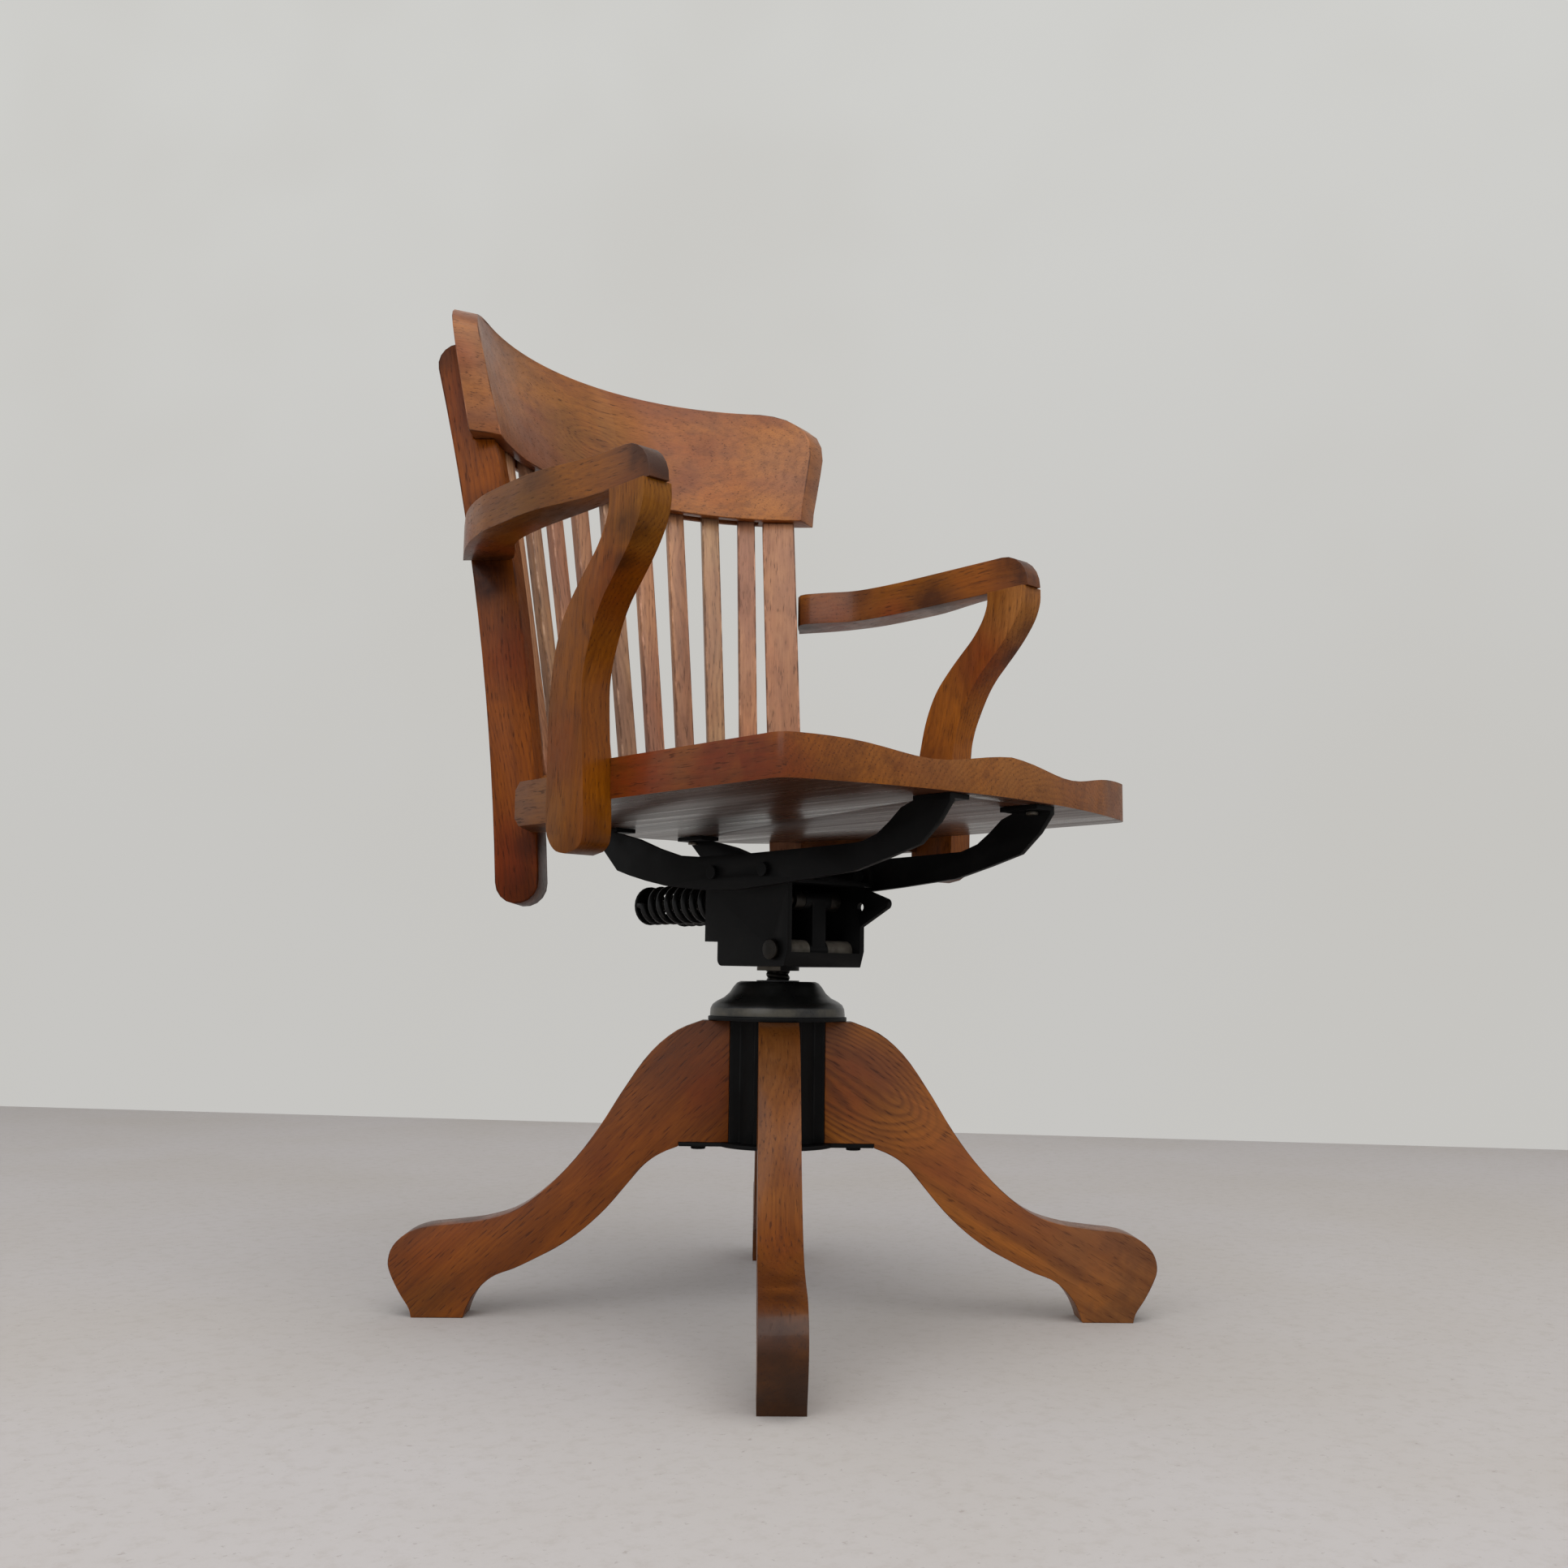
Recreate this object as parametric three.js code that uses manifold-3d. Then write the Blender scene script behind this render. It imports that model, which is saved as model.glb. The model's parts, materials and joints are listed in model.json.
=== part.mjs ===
// A bankers swivel chair in oak on a four-legged base, with a screw spindle and a sprung tilt.
// Millimetres, +Z up. The chair faces -Y, its left arm is at +X, and the floor is at Z = 0.
import * as THREE from "three";
import { mergeVertices } from "three/addons/utils/BufferGeometryUtils.js";
import Module from "manifold-3d";

const wasm = await Module();
wasm.setup();

// Fits and facets
const seatGap = 0.3;
const overrun = 6;
const roundSides = 24;
const domeSides = 36;
const screwSides = 12;
const curveSteps = 3;
const DEG = Math.PI / 180;

// Base: four sawn legs round an iron hub
const legCount = 4;
const legThickness = 34;
const legReach = 330;
const legHeight = 252.5;
const legTurn = -41.2;
const plateTop = 148;
const plateThickness = 3.3;
const plateDiscRadius = 50.6;
const plateArmReach = 84.4;
const hubRadius = 38;
const hubPadReach = 41.2;
const hubPadWidth = 40;
const hubFlangeRadius = 61.3;
const hubFlangeThickness = 3.6;
const legScrewPlace = 68;
const legScrewRadius = 3;
const legScrewHeadRadius = 6.5;
const legScrewHeadThickness = 3.2;
const legScrewLength = 30;

// Spindle, its bush and the nut that lifts it
const spindleRadius = 10.5;
const spindleFoot = 75;
const spindleFit = 0.4;
const keyWidth = 4;
const keyDepth = 2.6;
const bushWall = 6.1;
const nutHeight = 30.3;
const nutRimRadius = 59.7;
const nutTopRadius = 33.1;
const nutWall = 4.5;
const nutBossRadius = 19;
const nutStep = 1;

// Tilt mechanism: side plates at boxHalfWidth, pivot low at the front, springs out of the rear wall
const neckRadius = 18.8;
const neckRise = 9.5;
const neckSlotPlay = 2.9;
const boxHalfWidth = 46;
const boxWall = 5;
const boxFront = -61.5;
const boxRear = 47;
const boxHeelRear = 29.5;
const boxHeelRadius = 6;
const boxRise = 3.5;
const boxStepHeight = 21.5;
const boxHeight = 71;
const boxFloor = 4;
const boxLip = 12;
const boxLid = 3.5;
const boxEarHeight = 23;
const boxCorner = 4.5;
const boxCornerRise = 14;
const pivotForward = 43.5;
const pivotRise = 14;
const pivotShaftRadius = 6;
const pivotBarrelRadius = 9;
const pivotHeadRadius = 8.7;
const pivotHeadThickness = 4;
const anchorRise = 43;
const anchorPinRadius = 5;
const anchorEyeRadius = 8.5;
const headWebThickness = 16;
const headBossRadius = 16;
const headBossRise = 11;
const lugReach = 33.5;
const lugRootRise = 35.5;
const lugRootHeight = 34.5;
const lugTipRadius = 4.7;
const lugTipShares = [-0.7, -1.35];
const lugHoleRadius = 3.9;

// Springs on their rods
const springSpread = 21;
const springWireRadius = 3;
const springOuterRadius = 18.25;
const springRear = 158;
const springTurns = 8;
const springTurnSteps = 8;
const springWireSides = 5;
const rodRadius = 5;
const rodHoleRadius = 7.5;
const rodEyeWidth = 11;
const capThickness = 9;
const capFlange = 3;

// Seat irons: flat bars on edge, turned flat under the seat
const ironInner = 58;
const ironThickness = 5;
const ironRearInset = 41;
const ironFront = -258;
const ironDrop = 6;
const ironFootWidth = 22;
const ironFootThickness = 4;
const ironFootLength = 38;
const rivetRise = 10;
const rivetRadius = 4;
const rivetHeadRadius = 6;
const rivetHeadThickness = 3;
const rivetPlaces = [-50, 17];
const footScrewRadius = 2.6;
const footScrewHeadRadius = 5;
const footScrewHeadThickness = 3;
const footScrewDepth = 14;

// Seat: one saddled slab
const seatRise = 59;
const seatThickness = 33;
const seatHalfWidth = 206;
const seatFront = -266;
const seatCornerFront = -226;
const seatCornerRadius = 10;
const seatSideRear = 46;
const backCentre = -8;
const seatRearRadius = 247;
const seatRearAngle = 47.5;
const seatRearShares = [[0.92, 0.938], [0.84, 0.97], [0.66, 0.994], [0.4, 1], [0, 1]];
const seatRearEndShare = 0.915;
const seatHollow = 13;
const hollowMargin = 20;
const hollowFlatShare = 0.3;
const thighDepth = 10.5;
const thighSpread = 82;
const thighWidth = 55;
const thighReach = 120;
const seatRimStep = 15;
const seatRimShares = [0.14, 0.3, 0.45, 0.58, 0.7, 0.81, 0.9, 0.96, 1];

// Back: two sawn stiles, nine slats and a bent crest rail on arcs round backCentre
const stileAngle = 41.6;
const stileToeInAngle = 2;
const stileToeRise = 131;
const stileThickness = 35;
const stileDepth = 40;
const stileDrop = 78;
const stileRise = 454;
const stileInset = 8.5;
const stileSetBack = 40.3;
const stileBowShare = 0.201;
const slatCount = 9;
const slatStepAngle = 8.2;
const slatWidth = 19;
const slatThickness = 9;
const slatInset = 22;
const slatSetBack = 15.7;
const slatTenon = 10;
const crestRise = 359;
const crestHeight = 133;
const crestBottomRadius = 270;
const crestTopRadius = 283;
const crestBottomThickness = 28;
const crestTopThickness = 21;
const crestLean = 27;
const crestHalfLength = 242;
const crestFlareAngle = 2.3;
const crestToolShare = 1.1;
const crestColumns = 30;
const grooveDepth = 11.2;
const grooveAngle = 35.6;

// Arms: a rest that laps the stile and a bent support housed in the seat's side
const restRise = 239;
const restThickness = 33;
const restFront = -109;
const restRear = 206;
const restNoseRadius = 32;
const restPlanInner = 184;
const restPlanOuter = 252.5;
const supportInner = 205;
const supportThickness = 27.5;
const supportLeanAngle = 2.5;
const supportDrop = 44;
const supportReach = 134;
const supportRear = 28;
const spacerDrop = 13.5;
const spacerHeight = 38.5;
const spacerInner = 188.3;
const spacerOuter = 207;
const spacerRear = 113;
const spacerTaper = 42;
const spacerTip = 166;
const spacerTipInner = 158;
const spacerChamfer = 7;

// Places worked out from the sizes above
const plateBottom = plateTop - plateThickness;
const hubBottom = plateTop + seatGap;
const flangeBottom = legHeight + seatGap;
const flangeTop = flangeBottom + hubFlangeThickness;
const bushInner = spindleRadius + spindleFit;
const bushOuter = bushInner + bushWall;
const hubBore = bushOuter + spindleFit;
const legInner = hubPadReach + seatGap;
const nutBottom = flangeTop + seatGap;
const nutTop = nutBottom + nutHeight;
const neckBottom = nutTop + neckRise;
const boxBottom = neckBottom + boxRise;
const boxStep = boxBottom + boxStepHeight;
const boxTop = boxBottom + boxHeight;
const boxEarTop = boxTop + boxEarHeight;
const boxInner = boxHalfWidth - boxWall;
const pivotY = -pivotForward;
const pivotHeight = boxBottom + pivotRise;
const anchorHeight = pivotHeight + anchorRise;
const headBossTop = pivotHeight + headBossRise;
const lugRootLow = boxBottom + lugRootRise;
const lugRootHigh = lugRootLow + lugRootHeight;
const earOuter = ironInner - seatGap;
const springFront = boxRear + seatGap;
const springMeanRadius = springOuterRadius - springWireRadius;
const ironLow = boxTop - ironDrop;
const rivetHeight = boxTop + rivetRise;
const seatBottom = boxTop + seatRise;
const seatTop = seatBottom + seatThickness;
const footTop = seatBottom - seatGap;
const footBottom = footTop - ironFootThickness;
const stileFoot = seatBottom - stileDrop;
const stileHead = seatBottom + stileRise;
const stileToeHeight = seatBottom + stileToeRise;
const ironRear = backCentre + seatRearRadius - ironRearInset;
const stileFootRadius = seatRearRadius - stileInset;
const slatFootRadius = seatRearRadius - slatInset;
const stileHeadRadius = (crestBottomRadius + crestTopRadius) / 2 + stileSetBack;
const slatHeadRadius = crestBottomRadius + slatSetBack;
const crestBottom = seatBottom + crestRise;
const crestTop = crestBottom + crestHeight;
const restBottom = seatBottom + restRise;
const supportFoot = seatBottom - supportDrop;
const spacerBottom = seatBottom - spacerDrop;
const spacerTop = spacerBottom + spacerHeight;

// Materials
const oak = { color: 0x8f4f22, roughness: 0.42, metalness: 0 };
const darkOak = { color: 0x6e3717, roughness: 0.42, metalness: 0 };
const blackIron = { color: 0x121212, roughness: 0.55, metalness: 0.6 };
const brightSteel = { color: 0x8d8578, roughness: 0.35, metalness: 1 };

// Closed meshes and joins

function bare(geometry) {
  const clean = geometry.clone();
  clean.deleteAttribute("normal");
  clean.deleteAttribute("uv");
  return mergeVertices(clean, 1e-4);
}

function solidOf(geometry) {
  const merged = bare(geometry);
  return new wasm.Manifold(
    new wasm.Mesh({
      numProp: 3,
      vertProperties: merged.attributes.position.array,
      triVerts: new Uint32Array(merged.index.array),
    }),
  );
}

function geometryOf(solid) {
  const mesh = solid.getMesh();
  return new THREE.BufferGeometry()
    .setAttribute("position", new THREE.BufferAttribute(mesh.vertProperties, 3))
    .setIndex(new THREE.BufferAttribute(mesh.triVerts, 1));
}

function join(...geometries) {
  const solids = geometries.map(solidOf);
  return geometryOf(solids.reduce((whole, next) => whole.add(next)));
}

function cut(geometry, ...tools) {
  const solids = tools.map(solidOf);
  return geometryOf(solids.reduce((whole, tool) => whole.subtract(tool), solidOf(geometry)));
}

function common(first, second) {
  return geometryOf(solidOf(first).intersect(solidOf(second)));
}

// A closed mesh from points and faces, turned so that its faces point out.
function closedMesh(points, faces) {
  let volume = 0;
  for (const [a, b, c] of faces) {
    volume += points[a].dot(points[b].clone().cross(points[c]));
  }
  const turned = volume < 0 ? faces.map(([a, b, c]) => [a, c, b]) : faces;
  const geometry = new THREE.BufferGeometry().setFromPoints(points);
  return geometry.setIndex(turned.flat());
}

// Rings of equally many points, skinned in order and closed by a fan at each end.
function loft(rings) {
  const sides = rings[0].length;
  const points = rings.flat();
  const faces = [];
  for (let ring = 0; ring + 1 < rings.length; ring++) {
    for (let side = 0; side < sides; side++) {
      const a = ring * sides + side;
      const b = ring * sides + ((side + 1) % sides);
      faces.push([a, b, b + sides], [a, b + sides, a + sides]);
    }
  }
  for (const first of [0, (rings.length - 1) * sides]) {
    const ring = points.slice(first, first + sides);
    const middle = ring.reduce((sum, p) => sum.add(p), new THREE.Vector3()).divideScalar(sides);
    points.push(middle);
    const hub = points.length - 1;
    for (let side = 0; side < sides; side++) {
      const edge = [first + side, first + ((side + 1) % sides)];
      faces.push(first === 0 ? [hub, edge[1], edge[0]] : [hub, edge[0], edge[1]]);
    }
  }
  return closedMesh(points, faces);
}

// A curved slab between two sheets of rows by columns, closed along its four edges.
function slab(front, back, rows, columns) {
  const points = [];
  const faces = [];
  const at = (sheet, row, column) => (sheet * rows + row) * columns + column;
  for (const sheet of [front, back]) {
    for (let row = 0; row < rows; row++) {
      for (let column = 0; column < columns; column++) {
        points.push(sheet(row, column));
      }
    }
  }
  const quad = (a, b, c, d) => faces.push([a, b, c], [a, c, d]);
  for (let row = 0; row + 1 < rows; row++) {
    for (let column = 0; column + 1 < columns; column++) {
      quad(at(0, row, column), at(0, row, column + 1), at(0, row + 1, column + 1), at(0, row + 1, column));
      quad(at(1, row, column), at(1, row + 1, column), at(1, row + 1, column + 1), at(1, row, column + 1));
    }
    const last = columns - 1;
    quad(at(0, row, 0), at(0, row + 1, 0), at(1, row + 1, 0), at(1, row, 0));
    quad(at(0, row, last), at(1, row, last), at(1, row + 1, last), at(0, row + 1, last));
  }
  for (let column = 0; column + 1 < columns; column++) {
    const last = rows - 1;
    quad(at(0, 0, column), at(1, 0, column), at(1, 0, column + 1), at(0, 0, column + 1));
    quad(at(0, last, column), at(0, last, column + 1), at(1, last, column + 1), at(1, last, column));
  }
  return closedMesh(points, faces);
}

// Shapes and simple solids

const acrossAxes = new THREE.Matrix4().makeBasis(
  new THREE.Vector3(0, 1, 0),
  new THREE.Vector3(0, 0, 1),
  new THREE.Vector3(1, 0, 0),
);

function extrude(shape, depth) {
  return new THREE.ExtrudeGeometry(shape, { depth, bevelEnabled: false, curveSegments: curveSteps });
}

// A shape drawn in Y and Z, extruded along X.
function extrudeAcross(shape, fromX, toX) {
  return extrude(shape, toX - fromX).applyMatrix4(acrossAxes).translate(fromX, 0, 0);
}

// A shape drawn in X and Y, extruded along Z.
function extrudeUp(shape, fromZ, toZ) {
  return extrude(shape, toZ - fromZ).translate(0, 0, fromZ);
}

function polygon(points) {
  return new THREE.Shape(points.map(([x, y]) => new THREE.Vector2(x, y)));
}

function block(x0, x1, y0, y1, z0, z1) {
  const box = new THREE.BoxGeometry(x1 - x0, y1 - y0, z1 - z0);
  return box.translate((x0 + x1) / 2, (y0 + y1) / 2, (z0 + z1) / 2);
}

function discUp(radius, fromZ, toZ, sides = roundSides) {
  const disc = new THREE.CylinderGeometry(radius, radius, toZ - fromZ, sides);
  return disc.rotateX(Math.PI / 2).translate(0, 0, (fromZ + toZ) / 2);
}

function rodAcross(radius, fromX, toX, y, z, sides = roundSides) {
  const rod = new THREE.CylinderGeometry(radius, radius, toX - fromX, sides);
  return rod.rotateZ(Math.PI / 2).translate((fromX + toX) / 2, y, z);
}

function rodBack(radius, fromY, toY, x, z) {
  const rod = new THREE.CylinderGeometry(radius, radius, toY - fromY, roundSides);
  return rod.translate(x, (fromY + toY) / 2, z);
}

function turned(profile, sides) {
  const points = profile.map(([radius, height]) => new THREE.Vector2(radius, height));
  return new THREE.LatheGeometry(points, sides).rotateX(Math.PI / 2);
}

// An outline whose points are shares of a width from x0 and of a height from y0.
function shareOutline(runs, x0, width, y0, height) {
  const shape = new THREE.Shape();
  const place = ([across, up]) => new THREE.Vector2(x0 + across * width, y0 + up * height);
  runs.forEach((run, index) => {
    const points = run.map(place);
    if (index === 0) {
      shape.moveTo(points[0].x, points[0].y);
      points.shift();
    }
    if (points.length === 1) {
      shape.lineTo(points[0].x, points[0].y);
    } else if (points.length) {
      shape.splineThru(points);
    }
  });
  return shape;
}

// The outline's points, each moved out by the clearance.
function grown(shape, clearance) {
  const points = shape.getPoints(curveSteps);
  if (points[0].distanceTo(points[points.length - 1]) < seatGap / 10) points.pop();
  const turn = THREE.ShapeUtils.area(points) > 0 ? 1 : -1;
  const normal = (from, to) => new THREE.Vector2(to.y - from.y, from.x - to.x).normalize().multiplyScalar(turn);
  const moved = points.map((point, i) => {
    const before = normal(points[(i + points.length - 1) % points.length], point);
    const after = normal(point, points[(i + 1) % points.length]);
    const step = before.clone().add(after);
    return point.clone().add(step.multiplyScalar(clearance / (1 + before.dot(after))));
  });
  return new THREE.Shape(moved);
}

// A board of even width along a curve, with round ends.
function bandOutline(curve, halfWidth, steps, endSteps) {
  const left = [];
  const right = [];
  for (let i = 0; i <= steps; i++) {
    const point = curve.getPoint(i / steps);
    const tangent = curve.getTangent(i / steps);
    const normal = new THREE.Vector2(-tangent.y, tangent.x).multiplyScalar(halfWidth);
    left.push(point.clone().add(normal));
    right.push(point.clone().sub(normal));
  }
  const roundEnd = (centre, from) => {
    const spoke = from.clone().sub(centre);
    const points = [];
    for (let i = 1; i < endSteps; i++) {
      points.push(spoke.clone().rotateAround(new THREE.Vector2(), (-Math.PI * i) / endSteps).add(centre));
    }
    return points;
  };
  const head = roundEnd(curve.getPoint(1), left[steps]);
  const foot = roundEnd(curve.getPoint(0), right[0]);
  return new THREE.Shape([...left, ...head, ...right.reverse(), ...foot]);
}

const chair = new THREE.Group();

function piece(name, geometry, material, mirrored = false) {
  const shown = mirrored ? mirrorAcross(geometry) : geometry;
  const flat = shown.index ? shown.toNonIndexed() : shown.clone();
  flat.computeVertexNormals();
  const mesh = new THREE.Mesh(flat, new THREE.MeshStandardMaterial(material));
  mesh.name = name;
  chair.add(mesh);
  return mesh;
}

// The mirror image in X = 0, with its faces still pointing out.
function mirrorAcross(geometry) {
  const mirror = bare(geometry).scale(-1, 1, 1);
  const index = mirror.index.array;
  for (let i = 0; i < index.length; i += 3) {
    [index[i + 1], index[i + 2]] = [index[i + 2], index[i + 1]];
  }
  return mirror;
}

function pair(name, geometry, material) {
  piece(name + "_left", geometry, material);
  piece(name + "_right", geometry, material, true);
}

// Base

const legTopShares = [
  [0.168, 0.96], [0.244, 0.883], [0.317, 0.764], [0.383, 0.642], [0.452, 0.535],
  [0.536, 0.434], [0.626, 0.358], [0.716, 0.323], [0.809, 0.308], [0.896, 0.297], [0.951, 0.273],
  [0.988, 0.232], [1, 0.182], [0.99, 0.139], [0.962, 0.079], [0.934, 0.032], [0.9255, 0],
];
const legUnderShares = [
  [0.764, 0.032], [0.747, 0.071], [0.716, 0.113], [0.681, 0.141], [0.626, 0.164], [0.56, 0.2],
  [0.494, 0.24], [0.428, 0.293], [0.359, 0.366], [0.293, 0.455], [0.255, 0.505], [0.22, 0.537], [0.185, 0.558],
];
const legShoulderShare = 0.085;
const legHeelShare = 0.773;

function legSolid() {
  const length = legReach - legInner;
  const runs = [[[0, 1]], [[legShoulderShare, 1]], legTopShares, [[legHeelShare, 0]], legUnderShares];
  const outline = shareOutline(runs, legInner, length, 0, legHeight);
  const plateEnd = plateArmReach + seatGap;
  outline.lineTo(plateEnd, plateBottom);
  outline.lineTo(plateEnd, hubBottom);
  outline.lineTo(legInner, hubBottom);
  const board = extrudeAcross(outline, -legThickness / 2, legThickness / 2);
  const hole = discUp(legScrewRadius + seatGap, plateBottom, plateTop + legScrewLength, screwSides);
  return cut(board, hole.translate(0, legScrewPlace, 0));
}

function legScrew() {
  const headTop = plateBottom - seatGap;
  const head = discUp(legScrewHeadRadius, headTop - legScrewHeadThickness, headTop, screwSides);
  const shank = discUp(legScrewRadius, headTop - legScrewHeadThickness, headTop + legScrewLength, screwSides);
  return join(head, shank).translate(0, legScrewPlace, 0);
}

function atLeg(geometry, index) {
  return geometry.clone().rotateZ((legTurn + (index * 360) / legCount) * DEG);
}

function spiderPlate() {
  let plate = discUp(plateDiscRadius, plateBottom, plateTop, domeSides);
  for (let i = 0; i < legCount; i++) {
    const arm = block(-legThickness / 2, legThickness / 2, 0, plateArmReach, plateBottom, plateTop);
    plate = join(plate, atLeg(arm, i));
  }
  for (let i = 0; i < legCount; i++) {
    const hole = discUp(legScrewRadius + seatGap, plateBottom - overrun, plateTop + overrun, screwSides);
    plate = cut(plate, atLeg(hole.translate(0, legScrewPlace, 0), i));
  }
  return cut(plate, discUp(bushInner + seatGap, plateBottom - overrun, plateTop + overrun));
}

function hubSolid() {
  const profile = [
    [hubBore, hubBottom], [hubRadius, hubBottom], [hubRadius, flangeBottom],
    [hubFlangeRadius, flangeBottom], [hubFlangeRadius, flangeTop], [hubBore, flangeTop], [hubBore, hubBottom],
  ];
  let hub = turned(profile, domeSides);
  for (let i = 0; i < legCount; i++) {
    const half = hubPadWidth / 2;
    const pad = block(-half, half, hubBore + bushWall, hubPadReach, hubBottom, flangeBottom);
    hub = join(hub, atLeg(pad, i));
  }
  return hub;
}

const leg = legSolid();
const screw = legScrew();
for (let i = 0; i < legCount; i++) {
  piece("leg_" + (i + 1), atLeg(leg, i), oak);
  piece("leg_screw_" + (i + 1), atLeg(screw, i), blackIron);
}
piece("spider_plate", spiderPlate(), blackIron);
piece("hub", hubSolid(), blackIron);

// Spindle group

function keyBar(radiusIn, radiusOut, width, fromZ, toZ) {
  return block(-width / 2, width / 2, radiusIn, radiusOut, fromZ, toZ);
}

function swivelBush() {
  const profile = [
    [bushInner, hubBottom], [bushOuter, hubBottom], [bushOuter, flangeBottom],
    [bushInner, flangeBottom], [bushInner, hubBottom],
  ];
  const keyInner = spindleRadius - keyDepth + spindleFit;
  const keyOuter = bushInner + bushWall / 2;
  const key = keyBar(keyInner, keyOuter, keyWidth - 2 * spindleFit, hubBottom, flangeBottom);
  return join(turned(profile, roundSides), key);
}

function spindleSolid() {
  const rod = discUp(spindleRadius, spindleFoot, pivotHeight);
  const keyway = keyBar(
    spindleRadius - keyDepth, spindleRadius + overrun, keyWidth, spindleFoot - overrun, neckBottom - overrun,
  );
  return cut(rod, keyway);
}

const nutProfileShares = [
  [0, 0.06], [0.015, 0.21], [0.086, 0.333], [0.222, 0.422], [0.466, 0.531], [0.639, 0.667], [0.774, 0.848],
  [0.88, 0.954], [1, 1],
];

function heightNut() {
  const slope = nutRimRadius - nutTopRadius;
  const dome = nutProfileShares.map(([inward, up]) => [
    nutRimRadius - inward * slope, nutBottom + up * nutHeight,
  ]);
  const lining = dome.map(([radius, height]) => [radius - nutWall, height - nutWall]);
  const inside = lining.filter(([, height]) => height > nutBottom);
  const bore = spindleRadius + spindleFit;
  const profile = [
    [bore, nutBottom], [nutBossRadius, nutBottom], [nutBossRadius, nutTop - nutWall], ...inside.reverse(),
    [nutRimRadius - nutWall, nutBottom], [nutRimRadius, nutBottom], ...dome,
    [nutBossRadius, nutTop], [nutBossRadius, nutTop + nutStep], [bore, nutTop + nutStep], [bore, nutBottom],
  ];
  return turned(profile, domeSides);
}

function headWeb() {
  const front = pivotY - anchorEyeRadius;
  const shape = new THREE.Shape();
  shape.moveTo(headBossRadius, pivotHeight - anchorEyeRadius);
  shape.lineTo(headBossRadius, headBossTop);
  shape.lineTo(-headBossRadius / 2, headBossTop + anchorEyeRadius);
  shape.lineTo(pivotY + anchorEyeRadius * Math.SQRT1_2, anchorHeight + anchorEyeRadius * Math.SQRT1_2);
  shape.absarc(pivotY, anchorHeight, anchorEyeRadius, Math.PI / 4, Math.PI, false);
  shape.lineTo(front, pivotHeight);
  shape.lineTo(pivotY, pivotHeight - anchorEyeRadius);
  return extrudeAcross(shape, -headWebThickness / 2, headWebThickness / 2);
}

function spindleHead() {
  const profile = [
    [0, neckBottom], [neckRadius, neckBottom], [neckRadius, neckBottom + boxLip],
    [headBossRadius, headBossTop], [0, headBossTop],
  ];
  const boss = turned(profile, roundSides);
  const barrelEnd = boxInner - spindleFit;
  const barrel = rodAcross(pivotBarrelRadius, -barrelEnd, barrelEnd, pivotY, pivotHeight);
  const eyeEnd = springSpread - rodEyeWidth / 2 - spindleFit;
  const eye = rodAcross(anchorEyeRadius, -eyeEnd, eyeEnd, pivotY, anchorHeight);
  const socket = discUp(spindleRadius + seatGap, neckBottom - overrun, pivotHeight + seatGap);
  const shaftBore = rodAcross(pivotShaftRadius + spindleFit, -boxHalfWidth, boxHalfWidth, pivotY, pivotHeight);
  const pinBore = rodAcross(anchorPinRadius + seatGap, -boxHalfWidth, boxHalfWidth, pivotY, anchorHeight);
  return cut(join(boss, headWeb(), barrel, eye), socket, shaftBore, pinBore);
}

const anchorPinEnd = springSpread + rodEyeWidth / 2 + capFlange;
piece("swivel_bush", swivelBush(), brightSteel);
piece("height_nut", heightNut(), blackIron);
piece("spindle", spindleSolid(), brightSteel);
piece("spindle_head", spindleHead(), blackIron);
piece("anchor_pin", rodAcross(anchorPinRadius, -anchorPinEnd, anchorPinEnd, pivotY, anchorHeight), brightSteel);

// Spring rods, their caps and the springs

function springRod() {
  const tip = springRear + capThickness - capFlange;
  const rod = rodBack(rodRadius, pivotY, tip, springSpread, anchorHeight);
  const eye = rodAcross(
    anchorEyeRadius, springSpread - rodEyeWidth / 2, springSpread + rodEyeWidth / 2, pivotY, anchorHeight,
  );
  const bore = rodAcross(anchorPinRadius + spindleFit, 0, boxHalfWidth, pivotY, anchorHeight);
  return cut(join(rod, eye), bore);
}

const capShares = [[0.93, 0.5], [0.78, 0.76], [0.52, 0.93], [0.25, 0.99]];

function springCap() {
  const bore = rodRadius + seatGap;
  const boreEnd = capThickness - capFlange + seatGap;
  const dome = capShares.map(([out, up]) => [out * springOuterRadius, up * capThickness]);
  const profile = [
    [0, boreEnd], [bore, boreEnd], [bore, 0], [springOuterRadius, 0],
    [springOuterRadius, capFlange], ...dome, [0, capThickness],
  ];
  return turned(profile, roundSides).rotateX(-Math.PI / 2).translate(springSpread, springRear, anchorHeight);
}

// The wire's centre line: straight for one diameter, round in even turns, and straight again.
function springPath() {
  const length = springRear - seatGap - springFront;
  const stub = 2 * springWireRadius;
  const steps = springTurns * springTurnSteps;
  const rise = (length - 2 * stub) / steps;
  const path = [{ angle: 0, along: 0 }];
  for (let i = 0; i <= steps; i++) {
    path.push({ angle: (i * 2 * Math.PI) / springTurnSteps, along: stub + i * rise });
  }
  path.push({ angle: (steps * 2 * Math.PI) / springTurnSteps, along: length });
  return path.map(({ angle, along }) => {
    const out = new THREE.Vector3(Math.cos(angle), 0, Math.sin(angle));
    return { out, point: out.clone().multiplyScalar(springMeanRadius).setY(along) };
  });
}

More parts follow.
